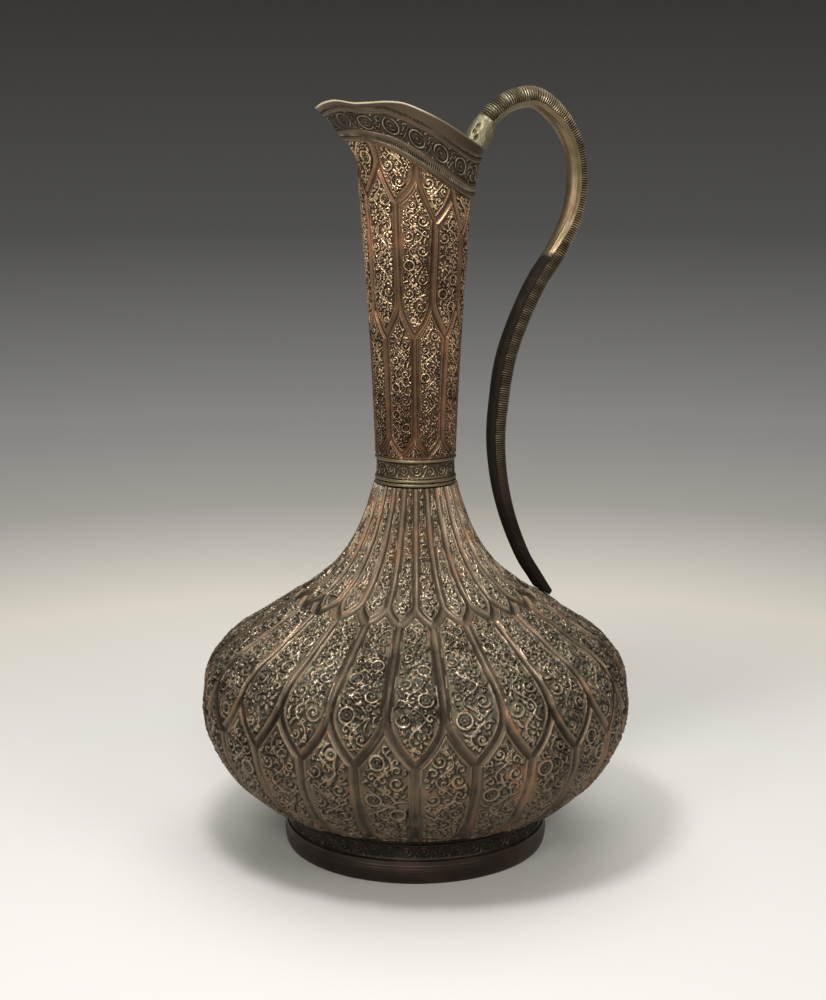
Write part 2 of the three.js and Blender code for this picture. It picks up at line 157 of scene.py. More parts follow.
# Opens a Geometry Nodes tree with inputs for numbers, vectors and others. All lengths go in as mm
def openShape(name, numbers, vectors="", **others):
    inputs = {
        "Geometry": "Geometry", **others, **dict.fromkeys(numbers.split(", "), 0.0),
        **{label: (0.0, 0.0, 0.0) for label in vectors.split(", ") if label}, "Material": "Material",
    }
    return openTree(name, "GeometryNodeTree", inputs, {"Geometry": "Geometry"})


def titled(key):
    return "".join(" " + letter if letter.isupper() else letter for letter in key).title()


# Runs a Geometry Nodes tree on an object, with the values its inputs are named after, and keeps a plain mesh
def shapeWith(thing, tree, values):
    modifier = thing.modifiers.new(tree.name, "NODES")
    modifier.node_group = tree
    values = {titled(key): value for key, value in values.items()}
    for item in tree.interface.items_tree:
        if item.item_type == "SOCKET" and item.in_out == "INPUT" and item.name in values:
            value = values[item.name]
            modifier[item.identifier] = float(value) if isinstance(value, int) else value
    graph = bpy.context.evaluated_depsgraph_get()
    mesh = bpy.data.meshes.new_from_object(thing.evaluated_get(graph), preserve_all_data_layers=True, depsgraph=graph)
    name = thing.name
    bpy.data.objects.remove(thing)
    mesh.name = name
    return linkMesh(name, mesh)


def finishPiece(thing, node, sharp=None):
    if sharp:
        thing.data.set_sharp_from_angle(angle=math.radians(sharp))
    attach(thing, "root")
    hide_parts(node)
    print("piece", thing.name, len(thing.data.polygons), "faces")


# Mesh helpers

def linkMesh(name, mesh):
    thing = bpy.data.objects.new(name, mesh)
    bpy.context.scene.collection.objects.link(thing)
    return thing


# Mesh made from arrays: corners, four-sided faces, three-sided faces
def meshFrom(name, corners, quads=(), triangles=()):
    mesh = bpy.data.meshes.new(name)
    mesh.vertices.add(len(corners))
    mesh.vertices.foreach_set("co", np.asarray(corners, np.float32).ravel())
    loops = np.concatenate([np.asarray(faces, int).ravel() for faces in (quads, triangles)]).astype(np.int32)
    mesh.loops.add(len(loops))
    mesh.loops.foreach_set("vertex_index", loops)
    starts = np.concatenate([np.arange(len(quads)) * 4, len(quads) * 4 + np.arange(len(triangles)) * 3])
    mesh.polygons.add(len(starts))
    mesh.polygons.foreach_set("loop_start", starts.astype(np.int32))
    mesh.polygons.foreach_set("use_smooth", np.ones(len(starts), bool))
    mesh.update(calc_edges=True)
    mesh.validate()
    return mesh


# Stores one number or one vector for each corner
def paint(mesh, name, values):
    values = np.asarray(values, np.float32)
    kind, key = ("FLOAT_VECTOR", "vector") if values.ndim > 1 else ("FLOAT", "value")
    mesh.attributes.new(name, kind, "POINT").data.foreach_set(key, values.ravel())


# Faces between rows of a grid that closes round on itself
def gridFaces(rows, columns, first=0):
    i = np.arange(rows - 1)[:, None] * columns
    j = np.arange(columns)[None]
    k = (j + 1) % columns
    return (first + np.stack([i + j, i + k, i + columns + k, i + columns + j], -1)).reshape(-1, 4)


# Faces between a fine ring of corners and a coarse one inside it, seen from above
def stitchRings(outer, inner):
    share = len(outer) // len(inner)
    blocks, after = outer.reshape(-1, share), np.roll(outer, -1).reshape(-1, share)
    innerAfter = np.roll(inner, -1)
    half = share // 2
    faces = [np.stack([blocks[:, k], after[:, k], inner if k < half else innerAfter], 1) for k in range(share)]
    faces.append(np.stack([blocks[:, half], innerAfter, inner], 1))
    return np.concatenate(faces)


# Three-sided faces from a middle corner to each step of a ring
def fan(middle, ring, turned=False):
    after = np.roll(ring, -1)
    return np.stack([np.full(len(ring), middle), *((after, ring) if turned else (ring, after))], 1)


# A closed skin over rows of points that each run round, with a fan over both ends
def cappedMesh(name, grid):
    rows, count = grid.shape[:2]
    corners = np.vstack([grid.reshape(-1, 3), [grid[0].mean(0)], [grid[-1].mean(0)]])
    ring, last = np.arange(count), rows * count
    caps = [fan(last, ring, True), fan(last + 1, ring + last - count)]
    return meshFrom(name, corners * mm, gridFaces(rows, count), np.concatenate(caps))


# Turns every face of a closed mesh outwards
def faceOutwards(thing):
    work = bmesh.new()
    work.from_mesh(thing.data)
    bmesh.ops.recalc_face_normals(work, faces=work.faces)
    work.to_mesh(thing.data)
    work.free()
    thing.data.polygons.foreach_set("use_smooth", np.ones(len(thing.data.polygons), bool))


def smoothstep(x, low=0.0, high=1.0):
    t = np.clip((x - low) / (high - low), 0, 1)
    return t * t * (3 - 2 * t)


# 1 between two heights and 0 outside them
def between(x, low, high, ease):
    return smoothstep(x, low, low + ease) * (1 - smoothstep(x, high - ease, high))


# Rounded lines at some heights
def ridges(x, middles, half):
    return sum(np.exp(-(((x - middle) / half) ** 2)) for middle in middles)


def lengthAlong(points):
    return np.concatenate([[0], np.cumsum(np.sqrt((np.diff(points, axis=0) ** 2).sum(1)))])


# Columns of a row of points, read at lengths along it
def sampled(points, lengths):
    along = lengthAlong(points)
    return [np.interp(lengths, along, column) for column in points.T]


# Smooth piece of a curve between two places with their slopes
def smoothPiece(a, b, v1, v2, t):
    return (2 * a - 2 * b + v1 + v2) * t**3 + (-3 * a + 3 * b - 2 * v1 - v2) * t**2 + v1 * t + a


def ringTurns(count):
    return np.arange(count) / count * tau


# Studio: camera, round backdrop, lamps

studio = {
    "cameraPlace": (-0.3494, -0.8403, 0.358),
    "cameraTurn": (78.5, 0.0, -22.5),  # degrees
    "lens": 68.4,
    "floorRadius": 1.25,
    "wallRadius": 2.3,
    "wallHeight": 1.9,
    "bendSteps": 24,
    "turns": 128,
    # backdrop colour by distance from the ewer along the floor and up the wall, in metres; its darkening far out and
    # up the wall paints the fall of light
    "backdropTones": [
        (0.0, (0.90, 0.88, 0.83)), (0.25, (0.92, 0.9, 0.865)), (0.5, (0.965, 0.925, 0.82)),
        (0.85, (0.58, 0.56, 0.525)), (1.35, (0.47, 0.468, 0.463)), (1.9, (0.15, 0.15, 0.148)),
        (2.5, (0.053, 0.05, 0.044)), (3.2, (0.045, 0.044, 0.041)),
    ],
    "worldTone": (0.50, 0.50, 0.49, 1),
    "worldStrength": 0.5,
    # name, place, aim, size, watts, tone
    "lamps": [
        ("overhead", (-0.155, -0.144, 0.56), (0, 0, 0.12), 0.1, 1.15, (1.0, 0.985, 0.96)),
        ("sky", (0.2, 0.5, 1.85), (0.1, 0.3, 0.0), 1.8, 17.0, (1.0, 0.985, 0.96)),
        ("left", (-1.05, -0.75, 0.5), (0, 0, 0.12), 0.35, 3.8, (1.0, 0.975, 0.94)),
        ("front", (-0.42, -1.25, 0.65), (0, 0, 0.12), 0.3, 3.9, (1.0, 0.975, 0.94)),
        ("side", (0.45, -1.1, 0.8), (0, 0, 0.12), 0.6, 3.4, (1.0, 0.98, 0.95)),
    ],
}


def buildStudio():
    scene = bpy.context.scene
    scene.view_settings.view_transform = "Standard"
    cameraData = bpy.data.cameras.new("camera")
    cameraData.lens = studio["lens"]
    cameraData.sensor_width = 36
    cameraData.clip_start = 0.01
    camera = bpy.data.objects.new("camera", cameraData)
    camera.location = studio["cameraPlace"]
    camera.rotation_euler = [math.radians(a) for a in studio["cameraTurn"]]
    scene.collection.objects.link(camera)
    scene.camera = camera
    world = bpy.data.worlds.new("studioAir")
    world.use_nodes = True
    inputs = world.node_tree.nodes["Background"].inputs
    inputs["Color"].default_value = studio["worldTone"]
    inputs["Strength"].default_value = studio["worldStrength"]
    scene.world = world
    for name, place, aim, size, watts, tone in studio["lamps"]:
        data = bpy.data.lights.new(name, "AREA")
        data.size = size
        data.energy = watts
        data.color = tone
        lamp = bpy.data.objects.new(name, data)
        lamp.location = place
        lamp.rotation_euler = (Vector(aim) - Vector(place)).to_track_quat("-Z", "Y").to_euler()
        scene.collection.objects.link(lamp)
    print("studio ready")


def openMaterial(name):
    material = bpy.data.materials.new(name)
    material.use_nodes = True
    return material, Bench(material.node_tree), material.node_tree.nodes["Principled BSDF"]


def buildBackdrop():
    radius, wall, top = studio["floorRadius"], studio["wallRadius"], studio["wallHeight"]
    bend, turns = wall - radius, studio["turns"]
    outline = [(0.02 + radius * i / 10, 0.0) for i in range(10)]
    for a in np.linspace(0, math.pi / 2, studio["bendSteps"] + 1):
        outline.append((radius + bend * math.sin(a), bend * (1 - math.cos(a))))
    rows = np.array(outline + [(wall, bend + (top - bend) * i / 4) for i in range(1, 5)])
    angle = ringTurns(turns)
    out, up = rows[:, :1], np.repeat(rows[:, 1:], turns, 1)
    corners = np.vstack([np.stack([out * np.cos(angle), out * np.sin(angle), up], -1).reshape(-1, 3), [[0, 0, 0]]])
    hub = fan(len(corners) - 1, np.arange(turns))
    backdrop = linkMesh("backdrop", meshFrom("backdrop", corners, gridFaces(len(rows), turns)[:, ::-1], hub))
    paint(backdrop.data, "way", np.append(np.repeat(lengthAlong(rows) + rows[0, 0], turns), 0))
    material, bench, shader = openMaterial("studioPaper")
    furthest = studio["backdropTones"][-1][0]
    reach = bench.add("ShaderNodeMapRange", "Result", {"Value": bench.mask("way"), "From Max": furthest})
    tone = bench.add("ShaderNodeValToRGB", "Color", {"Fac": reach})
    stops = tone.socket.node.color_ramp.elements
    stops.remove(stops[-1])
    for k, (place, shade) in enumerate(studio["backdropTones"]):
        stop = stops.new(place / furthest) if k else stops[0]
        stop.color = (*shade, 1)
    bench.feed(shader, {"Roughness": 0.75, "Specular IOR Level": 0.15, "Base Color": tone})
    backdrop.data.materials.append(material)


buildStudio()
buildBackdrop()


# The ewer's outline, as in its solid model

form = {
    "bellyRadius": 105.0,
    "bellyHeight": 72.0,
    "floorHeight": 10.0,
    "collarHeight": 182.3,
    "collarShoulderRadius": 20.0,
    "collarRadius": 19.3,
    "neckFoot": 196.3,
    "neckTopRadius": 26.2,
    "neckHeight": 123.2,
    "neckFlareShare": 0.092,
    "neckPower": 1.35,
    "mouthBackHeight": 22.5,
    "rimSpoutRadius": 49.0,
    "rimBackRadius": 32.6,
    "rimSlant": 21.8,
    "rimTipDip": 3.0,
    "bandSlant": 26.5,
    "flareDepth": 27.0,
    "mouthLap": 5.0,
    "mouthStep": 1.5,
    "beakPower": 2.2,
    "flarePower": 1.5,
    "bowlPoints": 1500,
    "shoulderPoints": 2500,
}
bandBack = form["neckFoot"] + form["neckHeight"]
rimBack = bandBack + form["mouthBackHeight"]

bowlShares = [
    (0.36, 0.0), (0.47, 0.045), (0.545, 0.1), (0.619, 0.165), (0.686, 0.228), (0.75, 0.295),
    (0.815, 0.39), (0.877, 0.492), (0.941, 0.655), (0.983, 0.818), (1.0, 1.0),
]
shoulderShares = [
    (1.0, 0.0), (0.992, 0.09), (0.968, 0.17), (0.918, 0.235), (0.838, 0.295), (0.735, 0.345), (0.561, 0.434),
    (0.44, 0.498), (0.325, 0.561), (0.218, 0.635), (0.118, 0.75), (0.044, 0.885), (0.0, 1.0),
]


# Smooth curve through points, with its end points held
def smoothCurve(points, count):
    p = np.asarray(points, float)
    last = len(p) - 1
    t = np.linspace(0, last, count)
    i = np.minimum(t.astype(int), last - 1)
    f = (t - i)[:, None]
    p0, p1, p2, p3 = p[np.maximum(i - 1, 0)], p[i], p[i + 1], p[np.minimum(i + 2, last)]
    return smoothPiece(p1, p2, (p2 - p0) / 2, (p3 - p1) / 2, f)


def bodyOutline():
    floor, belly, neck = form["floorHeight"], form["bellyHeight"], form["collarShoulderRadius"]
    bowl = [(r * form["bellyRadius"], floor + h * (belly - floor)) for r, h in bowlShares]
    reach, climb = form["bellyRadius"] - neck, form["collarHeight"] - belly
    shoulder = [(neck + r * reach, belly + h * climb) for r, h in shoulderShares]
    upper = smoothCurve(shoulder, form["shoulderPoints"])[1:]
    return np.vstack([[(0.5, floor)], smoothCurve(bowl, form["bowlPoints"]), upper])


# Angle from the spout as a share of the half turn
def awayFromSpout(turn):
    return np.abs(math.pi - np.mod(turn, tau)) / math.pi


def rimHeight(turn):
    away = awayFromSpout(turn)
    slant = form["rimSlant"] * (1 - smoothstep(away, 1 / 4, 5 / 6))
    return rimBack + slant - form["rimTipDip"] * np.exp(-((away * 8) ** 2))


def bandHeight(turn):
    return bandBack + form["bandSlant"] * (1 - smoothstep(awayFromSpout(turn), 1 / 12, 7 / 9))


def rimRadius(turn):
    beak = ((1 + np.cos(awayFromSpout(turn) * math.pi)) / 2) ** form["beakPower"]
    return form["rimBackRadius"] + (form["rimSpoutRadius"] - form["rimBackRadius"]) * beak


def taperRadius(height):
    share = np.maximum(0, (height - form["neckFoot"]) / form["neckHeight"]) ** form["neckPower"]
    low = form["collarRadius"] + (form["neckTopRadius"] - form["collarRadius"]) * share
    return np.where(height > bandBack, form["neckTopRadius"] + (height - bandBack) * form["neckFlareShare"], low)


# Outside of the neck sheet, which flares towards the beak and the back of the rim
def throatRadius(turn, height):
    rim = rimHeight(turn)
    share = np.clip((height - (rim - form["flareDepth"])) / form["flareDepth"], 0, 2)
    power = form["flarePower"] + smoothstep(awayFromSpout(turn), 1 / 2, 1)
    return taperRadius(height) + (rimRadius(turn) - form["mouthStep"] - taperRadius(rim)) * share**power


def throatGrid(turn, height, off=0.0):
    radius = throatRadius(turn, height) + off
    return np.stack([radius * np.cos(turn), radius * np.sin(turn), np.broadcast_to(height, radius.shape)], -1)


# Chased scrollwork, drawn as rows of round strokes on a flat sheet that wraps round

class ChasedSheet:
    def __init__(self, width, low, high, cell):
        self.cell, self.low = cell, low
        self.columns = int(round(width / cell))
        self.rows = int((high - low) / cell) + 2
        self.field = np.zeros((self.rows, self.columns))
        self.strokes = []

    # Round strokes of half width wide, rising to a height
    def stroke(self, x, y, wide, rise=1.0):
        x = np.atleast_1d(x)
        self.strokes.append(np.stack([np.broadcast_to(v, x.shape) for v in (x, y, wide, rise)], 1))

    def line(self, points, wide, rise=1.0, taper=0.0):
        points = np.asarray(points, float)
        along = lengthAlong(points)
        t = np.linspace(0, along[-1], max(2, int(along[-1] / (self.cell * 0.9)) + 1))
        x, y = (np.interp(t, along, points[:, k]) for k in (0, 1))
        self.stroke(x, y, wide * (1 - taper * t / max(along[-1], 1e-6)), rise)

    # Presses all strokes into the sheet and notes how crowded they stand round each cell
    def press(self, reach):
        s = np.concatenate(self.strokes)
        sizes = np.maximum(1, np.ceil(s[:, 2] / self.cell).astype(int))
        for size in np.unique(sizes):
            x, y, wide, rise = s[sizes == size].T
            cx, cy = np.round(x / self.cell).astype(int), np.round((y - self.low) / self.cell).astype(int)
            for dy in range(-size, size + 1):
                for dx in range(-size, size + 1):
                    off = np.hypot((cx + dx) * self.cell - x, (cy + dy) * self.cell + self.low - y) / wide
                    good = (off < 1) & (cy + dy >= 0) & (cy + dy < self.rows)
                    lift = rise[good] * np.sqrt(1 - off[good] ** 2)
                    np.maximum.at(self.field, (cy[good] + dy, (cx[good] + dx) % self.columns), lift)
        cells = max(1, int(round(reach / self.cell)))
        self.near = self.field
        for axis in (0, 1):
            self.near = sum(np.roll(self.near, k, axis) for k in range(-cells, cells + 1)) / (2 * cells + 1)

    def read(self, x, y, field):
        u = x / self.cell
        v = np.clip((y - self.low) / self.cell, 0, self.rows - 1.001)
        i, j = np.floor(v).astype(int), np.floor(u).astype(int)
        fi, fj = v - i, u - j
        j0, j1 = j % self.columns, (j + 1) % self.columns
        low, high = (field[i + k, j0] * (1 - fj) + field[i + k, j1] * fj for k in (0, 1))
        return low * (1 - fi) + high * fi

    # Height of the scrollwork, and how crowded it is: 0 on open ground. The crowd mask deepens the ground and paints
    # shade beside each stroke, shifted to its lower right
    def masks(self, x, y, window, shift=0.0):
        near = self.read(x - shift, y + shift, self.near)
        return {"scroll": self.read(x, y, self.field) * window, "crowd": smoothstep(near, 0.08, 0.42) * window}


# Motifs. Each is drawn in a circle: middle, radius, turn, hand and the line's half width

def polar(x, y, radius, angle):
    return x + radius * np.cos(angle), y + radius * np.sin(angle)


def arcPoints(x, y, radius, start, sweep, shrink=0.0):
    t = np.linspace(0, 1, max(8, int(abs(sweep) * radius * 3)))
    return np.stack(polar(x, y, radius * (1 - shrink * t), start + sweep * t), 1)


def drawVolute(sheet, x, y, radius, start, hand, wide):
    sheet.line(arcPoints(x, y, radius - wide, start, hand * 7.6, 0.76), wide * 1.2, taper=0.35)
    sheet.stroke(x, y, wide * 1.6)
    for k in range(3):
        a = start + hand * (1.2 + 1.9 * k)
        place = polar(x, y, radius * (0.98 - 0.1 * k), a)
        sheet.line(arcPoints(*place, radius * 0.3, a + hand * 0.4, -hand * 2.2, 0.5), wide * 0.7, 0.85, 0.5)


def drawMedallion(sheet, x, y, radius, start, hand, wide):
    sheet.line(arcPoints(x, y, radius - wide * 1.3, start, tau), wide * 1.3)
    sheet.line(arcPoints(x, y, radius * 0.44, start, tau), wide * 0.62, 0.8)
    sheet.stroke(x, y, wide * 1.1)
    if radius > wide * 7:
        sheet.stroke(*polar(x, y, radius * 0.62, start + ringTurns(7)), wide * 0.62, 0.7)


def drawFlower(sheet, x, y, radius, start, hand, wide):
    petals = 6 if radius > wide * 6 else 5
    for a in start + ringTurns(petals):
        sheet.stroke(*polar(x, y, np.linspace(radius * 0.5, radius * 0.78, 4), a), radius * 0.25)
    sheet.stroke(x, y, radius * 0.22, 0.9)


def drawCurl(sheet, x, y, radius, start, hand, wide):
    sheet.line(arcPoints(x, y, radius * 0.8, start, hand * 5.6, 0.62), wide * 0.85, taper=-0.3)
    sheet.line(arcPoints(x, y, radius, start, -hand * 0.9, -0.3), wide * 0.8, 0.9, 0.6)


def drawLeaf(sheet, x, y, radius, start, hand, wide):
    t = np.linspace(-1, 1, max(7, int(radius * 8)))
    bend = 0.35 * hand * radius * (1 - t * t)
    c, s = math.cos(start), math.sin(start)
    sheet.stroke(x + t * radius * c - bend * s, y + t * radius * s + bend * c, wide * (0.35 + 1.15 * (1 - t * t)))


def drawPair(sheet, x, y, radius, start, hand, wide):
    for side in (-1, 1):
        place = polar(x, y, side * radius * 0.45, start)
        hook = arcPoints(*place, radius * 0.48, start + math.pi / 2, side * hand * 4.2, 0.35)
        sheet.line(hook, wide * 0.8, 0.95, 0.2)


def drawRing(sheet, x, y, radius, start, hand, wide):
    sheet.line(arcPoints(x, y, radius * 0.72, start, tau), wide * 0.8, 0.95)
    if radius > wide * 3:
        sheet.stroke(x, y, wide * 0.8, 0.8)


def drawBud(sheet, x, y, radius, start, hand, wide):
    sheet.stroke(x, y, max(radius * 0.8, wide), 0.9)


# The winding stem of a panel with a large motif in each of its bays. Gives the circles they take up
def drawStem(sheet, random, centre, low, high, halfAt, plan):
    unit, wide = plan["unit"], plan["line"]
    wave = plan["wave"] * random.uniform(0.92, 1.1)
    side = random.choice([-1, 1])
    start = low + wave * plan["firstBay"] * random.uniform(0.9, 1.1)
    y = np.arange(low + unit, high - unit * 0.6, sheet.cell * 2)
    x = centre - plan["swing"] * halfAt(y) * side * np.cos((y - start) / wave * tau)
    sheet.line(np.stack([x, y], 1), wide * 0.95, 1.0)
    taken = [(px, py, wide) for px, py in zip(x[::4], y[::4])]
    for k, bay in enumerate(np.arange(start, high, wave / 2)):
        half, hand = halfAt(bay), side * (-1) ** k
        radius = min(half * plan["bayShare"], wave * 0.245, plan["largest"] * unit)
        if radius < unit * 1.2:
            continue
        bx = centre + hand * (half - radius) * 0.86
        kind = random.choice(4, p=plan["bayOdds"])
        draw = (drawVolute, drawMedallion, drawFlower, drawVolute)[kind]
        draw(sheet, bx, bay, radius, math.pi / 2 - hand * 1.9 + random.uniform(-0.3, 0.3), -hand, wide)
        if kind == 3:
            sheet.line(arcPoints(bx, bay, radius * 0.5, 0, tau), wide * 0.6, 0.7)
        below = bay - wave * 0.2
        stalk = [(np.interp(below, y, x), below), (bx - hand * radius * 0.8, bay - radius * 0.75)]
        sheet.line(stalk, wide * 0.8, 0.95)
        taken.append((bx, bay, radius))
    return np.array(taken)


# One panel: the stem and its motifs, then small ones dropped into the room left.
# Fills between centre - half and centre + half, where half is the panel's half width at each height.
def fillPanel(sheet, random, centre, heights, halves, plan):
    unit, wide = plan["unit"], plan["line"]
    keep = halves > unit * 0.5
    if keep.sum() < 4:
        return
    heights, halves = heights[keep], halves[keep]
    halfAt = lambda y: np.interp(y, heights, halves, left=0, right=0)
    low, high = heights[0], heights[-1]
    taken = drawStem(sheet, random, centre, low, high, halfAt, plan)
    motifs = (drawCurl, drawPair, drawLeaf, drawRing, drawFlower)
    for size, tries in plan["fill"]:
        radius = size * unit
        points = random.uniform(-1, 1, (int(tries * (high - low) / unit / 10) + 6, 3))
        for a, b, c in points:
            py = low + (high - low) * (b + 1) / 2
            half = halfAt(py) - radius - unit * 0.12
            px = centre + a * half
            if half < 0 or min(halfAt(py + radius), halfAt(py - radius)) < abs(px - centre):
                continue
            if (np.hypot(taken[:, 0] - px, taken[:, 1] - py) - taken[:, 2]).min() < radius * plan["crowding"]:
                continue
            if radius > unit * 0.6:
                draw = motifs[random.choice(5, p=plan["fillOdds"])]
            else:
                draw = drawBud if radius < unit * 0.4 else (drawLeaf, drawCurl)[random.integers(2)]
            thick = wide * min(1, 0.55 + 0.45 * radius / unit)
            draw(sheet, px, py, radius, c * math.pi, 1 if c > 0 else -1, thick)
            taken = np.vstack([taken, [(px, py, radius * 0.96)]])


# Panels of the body and the neck: where their channels run. Lengths are in mm

body = {
    "panels": 24,
    "firstPanel": 0.0,  # turn of a lower panel's middle, in degrees
    "lowEdge": 26.7,
    "splits": [(72.0, 94.5), (125.2, 132.4)],
    "widest": form["bellyRadius"],
    "base": form["bellyRadius"],  # radius of the flat sheet
    "cell": 0.25,
    "wall": 3.0,
    "channelHalf": 2.05,
    "channelPower": 0.22,  # how the channel narrows with the radius
    "channelDepth": 1.05,
    "beadGap": 0.4,
    "beadHalf": 0.34,
    "beadRise": 0.4,
    "crownReach": 5.5,
    "crownRise": 0.7,
    "groundDepth": 0.75,
    "scrollRise": 1.25,
    "crowdReach": 1.0,
    "crowdShift": 0.45,  # painted shade lies to the lower right of each stroke, as if lit from the upper left
    "unevenness": 0.4,
    "skirtPit": 0.75,  # painted shade of the plain skirt below the panels
    "soot": ((54.0, 90.0), 0.5),  # heights between which the painted shade of the low belly fades, and its strength
    "rubbed": ((108.0, 150.0), 1.0),  # heights between which painted light makes the shoulder brighter, and by how much
    "seed": 11,
    "floorStart": 4.0,  # where the rings of the floor begin, round its pole
    "tierScales": [1.0, 1.05, 1.7],  # how much coarser each tier is drawn
    "plan": {
        "unit": 2.2, "line": 0.58, "wave": 19.0, "firstBay": 0.32, "swing": 0.42, "bayShare": 0.52,
        "largest": 2.0, "bayOdds": [0.5, 0.22, 0.1, 0.18], "crowding": 0.66,
        "fill": [(1.5, 70), (1.15, 160), (0.85, 300), (0.62, 500), (0.46, 420)],
        "fillOdds": [0.54, 0.22, 0.18, 0.02, 0.04],
    },
    # name, node, lowest and highest height, columns, row spacing
    "shells": [
        ("bowl_floor", "lower_bowl", None, 20.6, 96, 4.0),
        ("bowl_lower", "lower_bowl", 20.6, 46.0, 1104, 0.5),
        ("bowl_upper", "lower_bowl", 46.0, 72.0, 1248, 0.5),
        ("shoulder_lower", "shoulder_shell", 72.0, 98.0, 1248, 0.5),
        ("shoulder_middle", "shoulder_shell", 98.0, 124.0, 1056, 0.52),
        ("shoulder_upper", "shoulder_shell", 124.0, 151.0, 720, 0.46),
        ("shoulder_throat", "shoulder_shell", 151.0, 182.3, 480, 0.34),
    ],
}
neck = {
    "panels": 9,
    "firstPanel": 247.5,
    "lowEdge": 197.0,
    "splits": [(198.1, 208.1), (254.4, 272.4)],
    "fork": (308.8, 0.7, 329.3, 18.0),  # its height at a band height, slope with the band, rise
    "widest": form["neckTopRadius"],
    "base": 23.0,
    "cell": 0.13,
    "wall": 2.2,
    "channelHalf": 1.3,
    "channelPower": 0.3,
    "channelDepth": 0.85,
    "beadGap": 0.35,
    "beadHalf": 0.3,
    "beadRise": 0.4,
    "crownReach": 3.5,
    "crownRise": 0.35,
    "groundDepth": 0.5,
    "scrollRise": 0.9,
    "crowdReach": 0.6,
    "crowdShift": 0.28,
    "unevenness": 0.25,
    "skirtPit": 0.0,
    # painted shade low on the neck, and painted light high on it
    "soot": ((205.0, 255.0), 0.4),
    "rubbed": ((270.0, 310.0), 0.3),
    "seed": 23,
    "tierScales": [1.0, 1.0, 1.0, 1.0],
    "plan": {
        "unit": 1.25, "line": 0.36, "wave": 13.5, "firstBay": 0.33, "swing": 0.44, "bayShare": 0.56,
        "largest": 2.2, "bayOdds": [0.3, 0.3, 0.2, 0.2], "crowding": 0.8,
        "fill": [(1.2, 70), (0.95, 120), (0.7, 160), (0.45, 240), (0.3, 200)],
        "fillOdds": [0.36, 0.16, 0.28, 0.06, 0.14],
    },
    "columns": 512,
    "rowSpacing": 0.32,
    "outlineTop": 372.0,
    "outlineStep": 0.25,
    "drawnOver": 2.0,  # how far the panels are drawn up past the band's lower edge
    # name, lowest and highest height: None is the slanted lap under the mouth
    "shells": [("neck_lower", form["neckFoot"], 244.0), ("neck_middle", 244.0, 290.0), ("neck_upper", 290.0, None)],
}


# Slow sideways wander of the channels, since they were laid out by hand
def wander(turn, height, pitch):
    waves = ((0.018, 3, 0.031, 0.0), (0.014, 7, -0.047, 1.3), (0.010, 13, 0.09, 4.0))
    return pitch * sum(size * np.sin(k * turn + rise * height + shift) for size, k, rise, shift in waves)


# Where the channel lies between two panels: 0 at a lower panel's middle, 0.5 half a pitch away
def channelShare(height, splits):
    share, inward = np.full(np.shape(height), 0.5), True
    for low, high in splits:
        part = 1 - (1 - np.clip((height - low) / (high - low), 0, 1)) ** 1.6
        share = np.where(height > low, 0.5 * (1 - part) if inward else 0.5 * part, share)
        inward = not inward
    return share


# How much narrower the channels are at a radius than at the widest place
def narrowing(spec, radius):
    return (radius / spec["widest"]) ** spec["channelPower"]


# Masks over a grid of turn and height, by the distance to the nearest channel, and faded by a window
def panelMasks(spec, sheet, turn, height, radius, splits, window):
    pitch = tau / spec["panels"]
    local = (turn - math.radians(spec["firstPanel"]) + wander(turn, height, pitch)) / pitch
    local = np.abs(local - np.round(local))
    share, ahead = channelShare(height, splits), channelShare(height + 0.25, splits)
    lean = (ahead - share) * pitch * radius / 0.25
    away = np.abs(local - share) * pitch * radius / np.sqrt(1 + lean**2)
    narrow = narrowing(spec, radius)
    half = spec["channelHalf"] * narrow
    edge = half + spec["beadGap"] * narrow
    panel = smoothstep(away, edge, edge + spec["beadHalf"] * narrow * 1.6) * window
    # Painted shade on the skirt and low down, and painted light higher up
    (shadeLow, shadeHigh), dark = spec["soot"]
    (litLow, litHigh), bright = spec["rubbed"]
    return {
        "channel": np.clip(1 - (away / half) ** 2, 0, 1) ** 0.6 * window,
        "bead": ridges(away, [edge], spec["beadHalf"] * narrow**0.5) * window,
        "panel": panel,
        "crown": smoothstep(away, half, half + spec["crownReach"] * narrow) * window,
        "pit": np.maximum(spec["skirtPit"] * (1 - window), dark * (1 - smoothstep(height, shadeLow, shadeHigh))),
        "wear": bright * smoothstep(height, litLow, litHigh),
        **sheet.masks(turn * spec["base"], np.interp(height, sheet.heights, sheet.flat), panel, spec["crowdShift"]),
    }


# Draws every panel of a piece on its flat sheet. A tier goes from a height to a height at a panel's middle turn
def chase(spec, outline, splitsAt, tiers):
    radii, heights = outline.T
    base, pitch = spec["base"], tau / spec["panels"]
    steps = np.diff(lengthAlong(outline))
    wide = np.maximum(radii, 1.0)
    flat = np.concatenate([[0], np.cumsum(steps * base / ((wide[1:] + wide[:-1]) / 2))])
    sheet = ChasedSheet(tau * base, 0.0, flat[-1], spec["cell"])
    sheet.heights, sheet.flat = heights, flat
    for tier, (bounds, middle) in enumerate(tiers):
        coarser = {key: spec["plan"][key] * spec["tierScales"][tier] for key in ("unit", "line", "wave")}
        plan = {**spec["plan"], **coarser}
        for k in range(spec["panels"]):
            centre = math.radians(spec["firstPanel"]) + (k + middle) * pitch
            z = np.arange(*bounds(centre), 0.5)
            radius = np.interp(z, heights, radii)
            share = channelShare(z, splitsAt(centre))
            share = 0.5 - share if middle == 0.5 else share
            lean = np.gradient(share) / 0.5 * pitch * radius
            margin = spec["channelHalf"] + spec["beadGap"] + spec["beadHalf"]
            margin = margin * narrowing(spec, radius) * np.sqrt(1 + lean**2)
            halves = (share * pitch * radius - margin) * base / radius
            random = np.random.default_rng([spec["seed"], tier, k])
            shift = wander(centre, z, pitch).mean()
            fillPanel(sheet, random, (centre - shift) * base, np.interp(z, heights, flat), halves, plan)
    sheet.press(spec["crowdReach"])
    print("chased", len(tiers) * spec["panels"], "panels", sheet.field.shape, round(float(sheet.field.mean()), 3))
    return sheet


